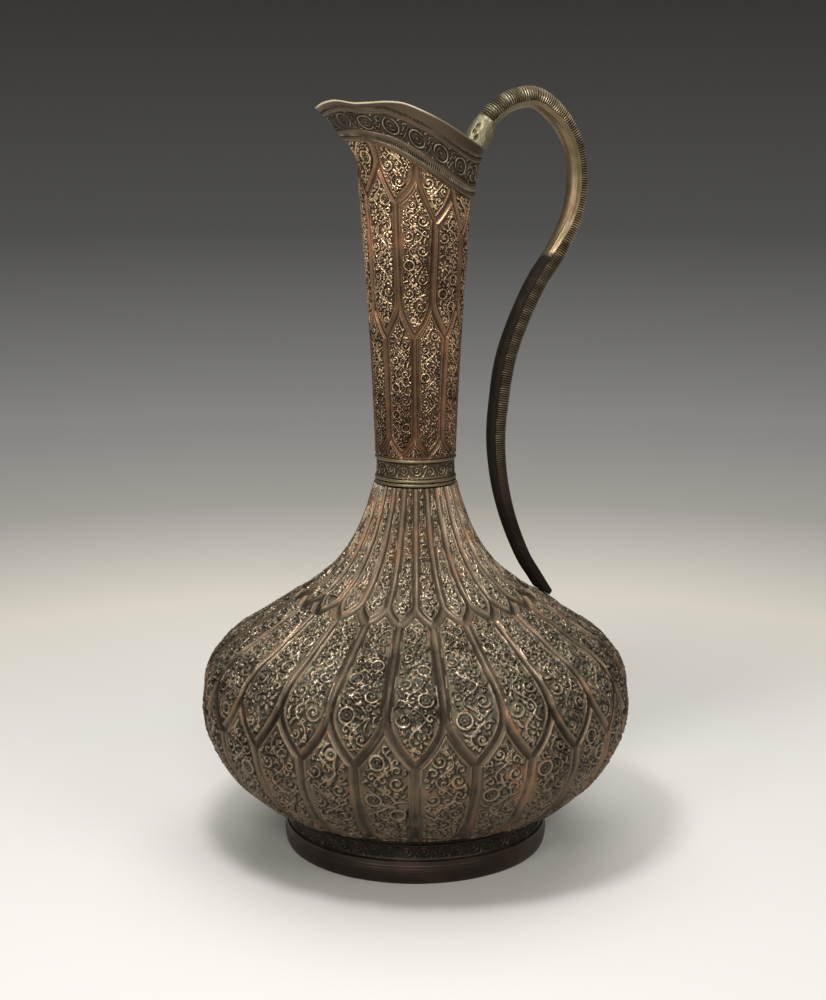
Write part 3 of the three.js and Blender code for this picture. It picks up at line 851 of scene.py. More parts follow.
# Chased relief: moves a shell's skin along its own outward direction by its painted masks
def chasedPanelsTree():
    numbers = "Channel Depth, Bead Rise, Crown Rise, Ground Depth, Scroll Rise, Unevenness, Seed"
    bench, given, out = openShape("chasedPanels", numbers)
    mask = bench.mask
    depth = given["Ground Depth"] * (mask("crowd") * 0.8 + 0.6)
    lift = (mask("scroll") * given["Scroll Rise"] - depth) * mask("panel")
    lift = lift + mask("bead") * given["Bead Rise"] + mask("crown") * given["Crown Rise"]
    bump = (bench.noise(bench.place(), 1 / 0.03, given["Seed"]) - 0.5) * given["Unevenness"]
    lift = lift - mask("channel") * given["Channel Depth"] + bump * mask("skin")
    push = bench.scaled(mask("outward", "FLOAT_VECTOR"), lift * mm)
    return bench.sealed(bench.moved(given["Geometry"], push), given["Material"], out)


# A closed shell of an outside grid and a coarser inside wall, each rows by columns of points in mm,
# chased by its masks. A shell round the axis may have a pole below instead of an edge.
def chasedShell(name, node, outside, inside, masks, outward, values, poleBelow=False):
    shape, innerShape = outside.shape[:2], inside.shape[:2]
    first, total = outside.size // 3, (outside.size + inside.size) // 3
    corners = np.concatenate([outside.reshape(-1, 3), inside.reshape(-1, 3)])
    quads = np.concatenate([gridFaces(*shape), gridFaces(*innerShape, first)[:, ::-1]])
    outer, inner = np.arange(first).reshape(shape), np.arange(first, total).reshape(innerShape)
    caps = [stitchRings(outer[-1], inner[-1])]
    if poleBelow:
        corners = np.vstack([corners, [[0, 0, outside[0, 0, 2]]], [[0, 0, inside[0, 0, 2]]]])
        caps += [fan(total, outer[0], True), fan(total + 1, inner[0])]
    else:
        caps.append(stitchRings(outer[0], inner[0])[:, ::-1])
    mesh = meshFrom(name, corners * mm, quads, np.concatenate(caps))
    rest = len(corners) - first
    for label, mask in {"skin": 1.0, **masks}.items():
        paint(mesh, label, np.append(np.broadcast_to(mask, shape), np.zeros(rest)))
    paint(mesh, "outward", np.vstack([np.broadcast_to(outward, outside.shape).reshape(-1, 3), np.zeros((rest, 3))]))
    finishPiece(shapeWith(linkMesh(name, mesh), chasedTree, values), node, 80)


# Grid of points turned about the axis from radius and height, with its outward directions
def turnedGrid(radius, height, columns, off=0.0):
    turn = ringTurns(columns)
    dr, dz = np.gradient(radius), np.gradient(height)
    size = np.hypot(dr, dz)
    nr, nz = dz / size, -dr / size

    def around(r, z):
        r, z = r[:, None], z[:, None]
        return np.stack([r * np.cos(turn), r * np.sin(turn), np.repeat(z, columns, 1)], -1)

    return around(radius + off * nr, height + off * nz), around(nr, nz), turn


# Some of the rows, evenly spread
def fewRows(rows, step, least=3):
    return np.linspace(0, rows - 1, max(least, rows // step)).astype(int)


def buildBody(material):
    outline = bodyOutline()
    along = lengthAlong(outline)
    (low1, high1), (low2, high2) = body["splits"]
    sheet = chase(body, outline, lambda turn: body["splits"], [
        (lambda turn: (body["lowEdge"], high1), 0.0), (lambda turn: (low1, high2), 0.5),
        (lambda turn: (low2, form["collarHeight"]), 1.0),
    ])
    for name, node, low, high, columns, spacing in body["shells"]:
        start = np.interp(low, outline[:, 1], along) if low else body["floorStart"]
        end = np.interp(high, outline[:, 1], along)
        rows = int((end - start) / spacing) + 1
        radius, height = sampled(outline, np.linspace(start, end, rows))
        outside, outward, turn = turnedGrid(radius, height, columns)
        few = fewRows(rows, 7)
        inside = turnedGrid(radius[few], height[few], columns // (12 if low else 2), -body["wall"])[0]
        z = height[:, None]
        skirt = smoothstep(z, body["lowEdge"] - 0.8, body["lowEdge"] + 0.8)
        masks = panelMasks(body, sheet, turn[None], z, radius[:, None], body["splits"], skirt)
        values = {**body, "material": material}
        chasedShell(name, node, outside, inside, masks, outward, values, low is None)


# Metals. Each has a ground tone, a dark tone for hollows and painted shade, a bare tone for rubbed tops and the
# painted highlight on the rim's edge, and a green of tarnish

tones = ("Ground", "Dark", "Bare", "Green", "Flush")
amounts = ("Rub", "Tarnish", "Blush", "Rough")
# Noise scales in waves to the metre, and the noise levels between which a tone sets in
aging = {
    "scales": (24.0, 140.0, 900.0),  # broad, middle, fine
    "flush": (0.5, 0.68),
    "bare": (0.45, 1.0),
    "green": (0.48, 0.72),
    "upward": (0.05, 0.75, 0.3, 1.0),  # green lies on faces that look up: from, to, least, most
    "grainScale": 1500.0,
    "punchScale": 1300.0,
    "scratchScale": 420.0,
    "scratchStretch": (1.0, 1.0, 9.0),
}


def agedMetalGroup():
    grey = (0.2, 0.2, 0.2, 1.0)
    starts = {"Worn": 0.0, "Sunk": 0.5, "Patches": 55.0, "Seed": 0.0}
    bench, given, out = openTree(
        "agedMetal", "ShaderNodeTree", {**dict.fromkeys(tones, grey), **dict.fromkeys(amounts, 0.5), **starts},
        {"Color": grey, "Roughness": 0.5, "Metallic": 0.5})
    place, seed = bench.place(), given["Seed"]
    scroll, panel, bead, channel, pit, crowd, edge, wear = (
        bench.mask(name) for name in ("scroll", "panel", "bead", "channel", "pit", "crowd", "edge", "wear"))
    broad, middle, fine = (bench.noise(place, scale, seed, 3.0) for scale in aging["scales"])
    blotch = bench.noise(place, given["Patches"], seed + 7.0, 3.0)
    tops = (bead * 0.55 + scroll).clamped()
    hollow = (panel * (1.0 - scroll)).clamped()
    # Shade mixes towards the dark tone: open ground, channels and painted shade beside the strokes; painted light on
    # the shoulder lifts it
    shade = hollow * 0.6 + channel * given["Sunk"] + hollow * crowd * 0.9 - wear * 0.5
    # Painted shade low on the body and neck and in the root's pits, and darkening towards the mouth's lip
    shade = (shade - broad * 1.1 + 0.6 - middle * 0.9 + 0.45).clamped().step("MAXIMUM", pit)
    colour = bench.blend(shade, given["Ground"], given["Dark"])
    flush = bench.eased(blotch, *aging["flush"]) * given["Blush"]
    colour = bench.blend(flush * (1.0 - shade).clamped(), colour, given["Flush"])
    # Bare tops also grow with the painted light on the shoulder
    worn = middle * 0.9 + broad * 0.8 + wear * 0.25 + given["Worn"] - 0.9
    bare = bench.eased(tops + worn, *aging["bare"]) * given["Rub"]
    # The edge mask is a painted highlight along the mouth's rim
    bare = (bare * (1.0 - pit * 1.4).clamped()).step("MAXIMUM", edge)
    colour = bench.blend(bare, colour, given["Bare"])
    upward = bench.eased(bench.split(bench.add("ShaderNodeNewGeometry", "Normal"))[2], *aging["upward"])
    green = bench.eased(hollow * 0.08 + blotch * 0.6 + fine * 0.4, *aging["green"])
    green = green * given["Tarnish"] * upward * (1.0 - pit)
    colour = bench.blend(green, colour, given["Green"])
    rough = given["Rough"] + hollow * 0.18 + channel * 0.14 + green * 0.2 + (fine - 0.5) * 0.3 - bare * 0.08
    bench.feed(out, {"Color": colour, "Roughness": rough, "Metallic": (0.8 - green * 0.5).clamped()})
    return bench.tree


def wornBumpGroup():
    starts = {"Grain": 0.4, "Punches": 0.5, "Scratches": 0.3, "Seed": 0.0}
    bench, given, out = openTree("wornBump", "ShaderNodeTree", starts, {"Height": 0.0})
    place = bench.place()
    hollow = (bench.mask("panel") * (1.0 - bench.mask("scroll"))).clamped()
    grain = bench.noise(place, aging["grainScale"], given["Seed"], 4.0)
    dots = bench.add("ShaderNodeTexVoronoi", "Distance", {"Vector": place, "Scale": aging["punchScale"]})
    stretched = bench.vectors("MULTIPLY", place, aging["scratchStretch"])
    lines = bench.noise(stretched, aging["scratchScale"], given["Seed"], 3.0)
    height = grain * given["Grain"] + dots * hollow * given["Punches"] + lines * given["Scratches"]
    bench.feed(out, {"Height": height})
    return bench.tree


# For each metal its tones, which are linear, its amounts, its bump in mm and what else it changes
metalSpecs = {
    "body": (
        [(0.2, 0.15, 0.1), (0.036, 0.027, 0.018), (0.6, 0.5, 0.355), (0.16, 0.17, 0.115), (0.38, 0.15, 0.07)],
        (0.53, 0.65, 0.6, 0.29), 0.12, {"Worn": -0.03, "Sunk": 0.85}),
    "neck": (
        [(0.21, 0.125, 0.072), (0.035, 0.021, 0.012), (0.72, 0.53, 0.33), (0.2, 0.19, 0.12), (0.42, 0.16, 0.085)],
        (0.85, 0.25, 0.5, 0.28), 0.1, {}),
    "mouth": (
        [(0.135, 0.1, 0.066), (0.024, 0.017, 0.012), (0.9, 0.8, 0.58), (0.09, 0.1, 0.075), (0.24, 0.12, 0.07)],
        (0.26, 0.6, 0.4, 0.36), 0.08, {}),
    "collar": (
        [(0.17, 0.12, 0.07), (0.035, 0.024, 0.015), (0.6, 0.47, 0.3), (0.2, 0.21, 0.13), (0.36, 0.15, 0.08)],
        (0.9, 0.5, 0.4, 0.36), 0.12, {}),
    "wire": (
        [(0.22, 0.18, 0.11), (0.06, 0.05, 0.03), (0.52, 0.44, 0.29), (0.2, 0.21, 0.14), (0.3, 0.17, 0.1)],
        (0.6, 0.6, 0.4, 0.4), 0.14, {}),
    "foot": (
        [(0.04, 0.029, 0.023), (0.012, 0.01, 0.008), (0.16, 0.12, 0.085), (0.05, 0.055, 0.042), (0.1, 0.05, 0.03)],
        (0.5, 0.4, 0.4, 0.42), 0.1, {}),
    "handle": (
        [(0.2, 0.15, 0.085), (0.05, 0.034, 0.02), (0.52, 0.42, 0.26), (0.15, 0.14, 0.085), (0.16, 0.085, 0.05)],
        (0.65, 0.5, 0.75, 0.38), 0.07, {"Patches": 120.0}),
    "root": (
        [(0.235, 0.215, 0.135), (0.025, 0.018, 0.01), (0.48, 0.45, 0.31), (0.25, 0.27, 0.155), (0.26, 0.18, 0.12)],
        (0.6, 0.7, 0.5, 0.52), 0.3, {"Worn": 0.1}),
    "palm": (
        [(0.08, 0.058, 0.038), (0.03, 0.022, 0.015), (0.3, 0.22, 0.14), (0.1, 0.11, 0.08), (0.16, 0.08, 0.04)],
        (0.6, 0.5, 0.3, 0.4), 0.1, {}),
}
# The handle turns dark low down, where a shadow is painted on it, and where it is milled, and takes the root's pale
# tone beside the root
handleLook = {
    # tones of the painted shadow low on the handle
    "low": {
        "Ground": (0.022, 0.017, 0.013), "Bare": (0.045, 0.035, 0.025), "Flush": (0.04, 0.025, 0.018),
        "Green": (0.025, 0.022, 0.018),
    },
    "lowRough": 0.8,
    "milledShare": 0.45,
    "shadowEdge": (0.2935, 0.2995),  # heights in metres, below which the handle takes its painted shadow
    "pales": (0.058, 0.074),  # metres from the axis
    "palesAbove": (0.34, 0.35),
    "paleShare": 0.85,
}


# Feeds the changing tones of the handle to its look
def toneHandle(bench, look):
    place = bench.place()
    x, y, z = bench.split(place)
    uneven = bench.noise(place, 200.0, 1.0)
    nearRoot = bench.eased(uneven * 0.02 + x, *handleLook["pales"], handleLook["paleShare"], 0.0)
    nearRoot = nearRoot * bench.eased(z, *handleLook["palesAbove"])
    # Below these heights the handle takes its painted shadow tones
    high = bench.eased(uneven * 0.012 + z, *handleLook["shadowEdge"])
    share = (bench.mask("panel") * handleLook["milledShare"] + high).clamped()
    own, (*_, rough) = metalSpecs["handle"][:2]
    lowRough = handleLook["lowRough"]
    bench.feed(look, {"Rough": share * (rough - lowRough) + lowRough})
    for label, low in handleLook["low"].items():
        k = tones.index(label)
        tone = bench.blend(share, (*low, 1), (*own[k], 1))
        if label != "Flush":
            tone = bench.blend(nearRoot, tone, (*metalSpecs["root"][0][k], 1))
        bench.feed(look, {label: tone})


def buildMetals():
    aged, worn = agedMetalGroup(), wornBumpGroup()
    made = {}
    for seed, (name, (shades, shares, deep, others)) in enumerate(metalSpecs.items(), 1):
        made[name], bench, shader = openMaterial(name + "Metal")
        colour = bench.add("ShaderNodeGroup", node_tree=aged)
        look = colour.socket.node
        bench.feed(look, {label: (*tone, 1) for label, tone in zip(tones, shades)})
        bench.feed(look, {**dict(zip(amounts, shares)), **others, "Seed": float(seed)})
        if name == "handle":
            toneHandle(bench, look)
        relief = bench.add("ShaderNodeGroup", node_tree=worn)
        bench.feed(relief.socket.node, {"Seed": float(seed)})
        bump = bench.add("ShaderNodeBump", 0, {"Height": relief, "Distance": deep * mm})
        rough, metallic = (Term(bench, look.outputs[label]) for label in ("Roughness", "Metallic"))
        bench.feed(shader, {"Base Color": colour, "Roughness": rough, "Metallic": metallic, "Normal": bump})
    print("metals", len(made))
    return made


metals = buildMetals()
chasedTree = chasedPanelsTree()
buildBody(metals["body"])


# Fork of the channels under the slanted mouth, at the turn of the nearest channel
def neckSplits(turn):
    at, slope, bandAt, rise = neck["fork"]
    low = at + slope * (bandHeight(turn) - bandAt)
    return [*neck["splits"], (low, low + rise)]


def levelOutward(turn):
    return np.stack([np.cos(turn), np.sin(turn), np.zeros_like(turn)], -1)


def buildNeck(material):
    height = np.arange(form["neckFoot"] - 0.5, neck["outlineTop"], neck["outlineStep"])
    (low0, high0), (low1, high1) = neck["splits"]
    over = neck["drawnOver"]
    sheet = chase(neck, np.stack([taperRadius(height), height], 1), neckSplits, [
        (lambda turn: (form["neckFoot"], high0), 0.0), (lambda turn: (low0, high1), 0.5),
        (lambda turn: (low1, bandHeight(turn) + over), 1.0),
        (lambda turn: (neckSplits(turn)[-1][0], bandHeight(turn) + over), 0.5),
    ])
    turn = ringTurns(neck["columns"])[None]
    band = bandHeight(turn)
    for name, bottom, high in neck["shells"]:
        top = band + form["mouthLap"] if high is None else np.full(turn.shape, high)
        rows = int((top.max() - bottom) / neck["rowSpacing"]) + 1
        z = bottom + (top - bottom) * np.linspace(0, 1, rows)[:, None]
        inside = throatGrid(turn[:, ::4], z[fewRows(rows, 12)][:, ::4], -neck["wall"])
        ends = smoothstep(z, neck["lowEdge"] - 0.5, neck["lowEdge"] + 0.6) * smoothstep(band - z, 0.0, 1.2)
        masks = panelMasks(neck, sheet, turn, z, taperRadius(z), neckSplits(turn), ends)
        masks["skin"] = smoothstep(band - z, 0.0, 2.0)
        values = {**neck, "material": material}
        chasedShell(name, "neck_tube", throatGrid(turn, z), inside, masks, levelOutward(turn), values)


mouth = {
    "columns": 768,
    "rowSpacing": 0.36,
    "designHeight": 22.0,
    "field": (6.1, 16.4),
    "lines": [0.6, 1.5, 4.9, 5.8, 16.6, 17.5],  # raised lines, heights above the band's lower edge
    "lineHalf": 0.33,
    "ticks": [(2.1, 4.2, 1.07), (18.2, 19.5, 0.65)],  # milled strips: from, to, pitch
    "edgeFade": ((66.0, 86.0), 0.75),  # degrees between which the painted highlight on the rim's edge fades, and by how much
    "rosetteHeight": 11.2,
    "rosetteRadius": 3.9,
    "rosetteSpacing": 11.6,
    "line": 0.36,
    "beadRise": 0.42,
    "crownRise": 0.3,
    "scrollRise": 0.75,
    "groundDepth": 0.45,
    "unevenness": 0.3,
    "lipFrom": 19.9,
    # rise of the uneven rim by degrees from the spout, the near side positive
    "rimWaver": [
        (-180, 0.0), (-70, 0.0), (-60, -0.4), (-50, -1.0), (-40, -1.5), (-30, -2.0), (-20, -1.8), (-10, -0.6),
        (0, 0.3), (10, 1.7), (20, 1.9), (30, -0.6), (40, -0.6), (50, -0.1), (60, 0.3), (70, -0.6), (80, -1.0),
        (90, -1.1), (100, -1.0), (110, -0.9), (120, -0.4), (135, 0.0), (180, 0.0),
    ],
    "rimBlur": 27,  # columns over which the rim's waver is smoothed
    "tallest": 27.0,  # of the band, to count the rows
    "measuredAt": 11.0,  # height at which the length round the band is measured
    "cell": 0.13,
    "seed": 5,
}


# The mouth's ornament on a flat strip: round the band, and up from its lower edge
def chaseMouth(length):
    sheet = ChasedSheet(length, 0.0, mouth["designHeight"] + 2, mouth["cell"])
    random = np.random.default_rng(mouth["seed"])
    count = int(round(length / mouth["rosetteSpacing"]))
    gap = length / count
    high, radius, wide = mouth["rosetteHeight"], mouth["rosetteRadius"], mouth["line"]
    for k in range(count):
        x, y = k * gap, high + random.uniform(-0.15, 0.15)
        start = random.uniform(0, tau)
        sheet.line(arcPoints(x, y, radius - wide, start, tau * 0.86), wide * 1.15)
        sheet.line(arcPoints(x, y, radius * 0.5, start + 2.5, tau * 0.74), wide * 0.75, 0.8)
        sheet.stroke(x, y, wide * 1.7, 0.9)
        for m in range(8):
            dot = polar(x, y, radius * 0.69, m * tau / 8 + random.uniform(-0.1, 0.1))
            sheet.stroke(*dot, wide * 0.75, 0.7)
        middle = x + gap / 2
        for side in (-1, 1):
            hook = arcPoints(middle + side * 0.75, high + side * 2.4, 1.5, side * 1.6, side * 4.6, 0.45)
            sheet.line(hook, wide * 0.85, 0.95, 0.2)
            stalk = [(middle - side * 0.9, high + side * 0.2), (middle + side * 1.3, high + side * 4.3)]
            sheet.line(stalk, wide * 0.8, 0.9, 0.5)
            drawLeaf(sheet, middle - side * 1.9, high + side * 4.1, 1.1, side * 0.7, side, wide * 0.8)
            drawBud(sheet, middle + side * 2.1, high - side * 4.0, 0.55, 0, 1, wide * 0.8)
    sheet.press(0.8)
    return sheet


def buildMouth(material):
    columns = mouth["columns"]
    turn = ringTurns(columns)[None]
    low, degrees = bandHeight(turn), np.degrees(turn) - 180
    waver = np.tile(np.interp(degrees[0], *np.transpose(mouth["rimWaver"])), 3)
    blur = np.hanning(mouth["rimBlur"])
    top = rimHeight(turn) + np.convolve(waver, blur / blur.sum(), "same")[columns:2 * columns]
    rows = int(mouth["tallest"] / mouth["rowSpacing"])
    z = low + (top - low) * np.linspace(0, 1, rows)[:, None]
    up = (z - low) / np.minimum(1, (top - low) / mouth["designHeight"])
    steps = (throatRadius(turn, low + mouth["measuredAt"])[0] + form["mouthStep"]) * tau / columns
    strip = (np.cumsum(steps) - steps)[None]
    field = between(up, *mouth["field"], 0.6)
    masks = chaseMouth(float(steps.sum())).masks(strip, up, field)
    # Milled strips, with painted shade between their ticks
    for start, end, pitch in mouth["ticks"]:
        strong = between(up, start, end, 0.3)
        masks["scroll"] = masks["scroll"] + strong * (0.5 + 0.5 * np.cos(strip / pitch * tau)) ** 0.7
        field, masks["crowd"] = np.maximum(field, strong), np.maximum(masks["crowd"], strong)
    # Painted highlight along the rim's edge, and the band darker towards the lip
    fadeSpan, fadeShare = mouth["edgeFade"]
    masks.update({
        "panel": field, "bead": np.clip(ridges(up, mouth["lines"], mouth["lineHalf"]), 0, 1.2), "channel": 0.0,
        "crown": 0.5 * smoothstep(up, mouth["lipFrom"] - 1, mouth["lipFrom"]), "pit": 0.4 * smoothstep(up, 15.5, 18.5),
        "edge": smoothstep(z - top, -0.9, -0.3) * (1 - fadeShare * smoothstep(degrees, *fadeSpan)),
    })
    few = fewRows(rows, 3)
    thin = np.where(few == rows - 1, -0.15, 0.0)[:, None]
    inside = throatGrid(turn[:, ::3], z[few][:, ::3] + thin, 0.3)
    outside = throatGrid(turn, z, form["mouthStep"] - 0.1)
    values = {**mouth, "material": material}
    chasedShell("mouth", "mouth_piece", outside, inside, masks, levelOutward(turn), values)


buildNeck(metals["neck"])
buildMouth(metals["mouth"])


# Foot and collar: turned bands with a strip of running scrolls

foot = {
    "columns": 960,
    "rowSpacing": 0.4,
    "wall": 2.1,
    "outline": [
        (63.6, 0.0), (64.4, 0.7), (65.1, 2.8), (65.4, 5.5), (65.2, 8.4), (64.7, 10.9), (63.9, 11.7), (63.4, 12.7),
        (63.3, 16.0), (63.6, 18.2), (64.0, 19.3),
    ],
    "field": (12.5, 18.7),
    "lines": [6.6, 7.6, 8.9, 11.2, 18.9],
    "lineHalf": 0.26,
    "beadRise": 0.28,
    "scrollRadius": 2.75,
    "scrollSpacing": 8.4,
    "line": 0.36,
    "scrollRise": 0.8,
    "groundDepth": 0.5,
    "unevenness": 0.3,
    "seed": 41,
}
collar = {
    "columns": 480,
    "rowSpacing": 0.3,
    "wall": 0.8,
    "outline": [(18.75, 186.6), (18.95, 187.3), (18.9, 190.3), (18.8, 193.2), (18.65, 194.0)],
    "field": (187.0, 193.6),
    "lines": [186.9, 193.7],
    "lineHalf": 0.3,
    "beadRise": 0.3,
    "scrollRadius": 2.5,
    "scrollSpacing": 6.3,
    "line": 0.33,
    "scrollRise": 0.75,
    "groundDepth": 0.45,
    "unevenness": 0.35,
    "seed": 53,
}


# A strip of volutes that turn by turns up and down, with leaves and buds between them
def drawRunningScroll(sheet, length, middle, spec):
    random = np.random.default_rng(spec["seed"])
    count = 2 * int(round(length / spec["scrollSpacing"] / 2))
    gap, radius, wide = length / count, spec["scrollRadius"], spec["line"]
    for k in range(count):
        hand = (-1) ** k
        x, y = (k + 0.5) * gap, middle + hand * radius * 0.12
        drawVolute(sheet, x, y, radius, -hand * (1.9 + random.uniform(-0.25, 0.25)), hand, wide)
        reach = hand * radius * 1.05
        sheet.line([(x - gap * 0.62, y + reach * 0.9), (x - gap * 0.3, y - reach * 0.55)], wide * 0.9)
        for side in (-1, 1):
            leafX, leafY = x + gap / 2 + side * radius * 0.22, middle + side * radius * 0.85
            drawLeaf(sheet, leafX, leafY, radius * 0.42, random.uniform(0.2, 1.2) * hand, side, wide)
            drawBud(sheet, x + side * gap * 0.3, middle - hand * radius * 1.08, radius * 0.16, 0, 1, wide * 0.8)
    sheet.press(wide * 2)


def buildBand(name, node, spec, material):
    fine = smoothCurve(spec["outline"], 400)
    length = lengthAlong(fine)[-1]
    rows = int(length / spec["rowSpacing"])
    radius, height = sampled(fine, np.linspace(0, length, rows))
    outside, outward, turn = turnedGrid(radius, height, spec["columns"])
    few = fewRows(rows, 6, 4)
    inside = turnedGrid(radius[few] - spec["wall"], height[few], spec["columns"] // 8)[0]
    low, high = spec["field"]
    base = float(radius.mean())
    sheet = ChasedSheet(tau * base, low, high, spec["line"] / 2)
    drawRunningScroll(sheet, tau * base, (low + high) / 2, spec)
    z = height[:, None]
    field = between(z, low, high, 0.4)
    masks = {
        **sheet.masks(turn[None] * base, z, field), "panel": field,
        "bead": ridges(z, spec["lines"], spec["lineHalf"]), "crown": 0.0, "channel": 0.0,
    }
    chasedShell(name, node, outside, inside, masks, outward, {**spec, "material": material})


buildBand("foot", "foot_ring", foot, metals["foot"])
buildBand("collar", "collar_sleeve", collar, metals["collar"])


# Wires bent round the collar's joints

wires = {
    "ringRadius": 18.95,
    "wireRadius": 0.85,
    "waver": 0.28,
    "lumps": 0.14,
    # piece, node, height of the wire's middle
    "places": [
        ("wire_bottom", "collar_wire_bottom", 183.45), ("wire_middle", "collar_wire_middle", 185.45),
        ("wire_top", "collar_wire_top", 195.15),
    ],
}


def bentWireTree():
    bench, given, out = openShape("bentWire", "Ring Radius, Wire Radius, Height, Waver, Lumps, Seed")
    place, seed = bench.place(), given["Seed"]

    def circle(resolution, radius):
        inputs = {"Resolution": resolution, "Radius": given[radius] * mm}
        return bench.add("GeometryNodeCurvePrimitiveCircle", "Curve", inputs)

    drift = bench.vectors("SUBTRACT", bench.noise(place, 130.0, seed, 2.0, "Color"), (0.5, 0.5, 0.5))
    move = bench.vectors("ADD", bench.scaled(drift, given["Waver"] * mm), bench.joined(Z=given["Height"] * mm))
    bent = bench.moved(circle(420, "Ring Radius"), move)
    tube = bench.add("GeometryNodeCurveToMesh", 0, {"Curve": bent, "Profile Curve": circle(14, "Wire Radius")})
    rough = (bench.noise(place, 420.0, seed, 3.0) - 0.5) * given["Lumps"] * mm
    push = bench.scaled(bench.add("GeometryNodeInputNormal"), rough)
    return bench.sealed(bench.moved(tube, push), given["Material"], out)


def buildWires(material):
    tree = bentWireTree()
    for k, (name, node, height) in enumerate(wires["places"]):
        start = linkMesh(name, meshFrom(name, [(0, 0, 0)]))
        wire = shapeWith(start, tree, {**wires, "height": height, "seed": 3 + k, "material": material})
        faceOutwards(wire)
        finishPiece(wire, node)


buildWires(metals["wire"])


# Handle: two half round strips carried along one path, the outer one milled across

handle = {
    "reach": 85.6,
    "crest": 365.8,
    "rootRadius": 30.2,
    "rootHeight": 347.0,
    "seatHeight": 117.77,
    "palmThickness": 1.3,
    "rootRise": 10.0,
    "halfBreadth": 4.7,
    "tailShare": 0.66,
    "taperShare": 0.42,
    "lift": 0.25,
    # turn of the section about the path, in degrees, and how much more of it above and below
    "twist": 14.0,
    "twistAbove": (21.0, 0.79, 0.88),
    "twistBelow": (30.0, 0.69, 0.58),
    "notchPitch": 1.12,
    "notchFrom": 0.14,
    "notchTo": 0.3,
    "ridgePlace": 1.2,  # radians from the middle of the bow
    "ridgeHalf": 0.16,
    "dents": 0.22,
    "seed": 7,
    "flat": 6,  # columns across the flat back of a half
    # piece and node, base, depth, middle angle, columns, row spacing, notch depth, ridge rise
    "halves": [
        ("handle_bow", 1.6, 6.6, math.pi, 40, 0.8, 0.0, 0.3),
        ("handle_back", 1.8, 3.9, 0.0, 24, 0.27, 0.7, 0.0),
    ],
}
# Centre line above the seat: share of the reach, share of the rise to the crest
handleShares = [
    (0.752, 0.045), (0.684, 0.082), (0.579, 0.168), (0.519, 0.251), (0.498, 0.333), (0.513, 0.402), (0.556, 0.491),
    (0.639, 0.569), (0.754, 0.646), (0.871, 0.703), (0.956, 0.761), (0.996, 0.823), (0.986, 0.883), (0.946, 0.924),
    (0.864, 0.964), (0.73, 0.997), (0.602, 0.994), (0.491, 0.973),
]


# Axes on the shoulder below the handle: place, down the slope, across, out of the sheet
def palmAxes():
    outline = bodyOutline()[form["bowlPoints"]:]
    radius, height = outline.T
    k = int(np.interp(handle["seatHeight"], height, np.arange(len(height))))
    step = outline[k + 2] - outline[k - 2]
    step /= np.hypot(*step)
    place = np.array([np.interp(handle["seatHeight"], height, radius), 0, handle["seatHeight"]])
    return place, np.array([-step[0], 0, -step[1]]), np.array([0.0, 1, 0]), np.array([step[1], 0, -step[0]])


# Points along the handle's centre line, evenly spaced: a centripetal curve through its places
def handlePath(count=600):
    place, down, across, out = palmAxes()
    seat = place + out * handle["palmThickness"]
    rise = handle["crest"] - seat[2]
    middle = [(x * handle["reach"], 0, seat[2] + y * rise) for x, y in handleShares]
    p = np.array([seat, *middle, (handle["rootRadius"], 0, handle["rootHeight"])])
    p = np.vstack([2 * p[0] - p[1], p, 2 * p[-1] - p[-2]])
    gap = np.sqrt(np.linalg.norm(np.diff(p, axis=0), axis=1))
    t = np.linspace(0, 1, 60, endpoint=False)[:, None]
    points = []

    # Slope at a point, from the places and gaps before and after it
    def slope(k):
        before, after = gap[k - 1], gap[k]
        return (p[k] - p[k - 1]) / before - (p[k + 1] - p[k - 1]) / (before + after) + (p[k + 1] - p[k]) / after

    for i in range(1, len(p) - 2):
        points.append(smoothPiece(p[i], p[i + 1], slope(i) * gap[i], slope(i + 1) * gap[i], t))
    points = np.vstack([*points, p[-2:-1]])
    length = lengthAlong(points)[-1]
    return np.stack(sampled(points, np.linspace(0, length, count)), 1), length


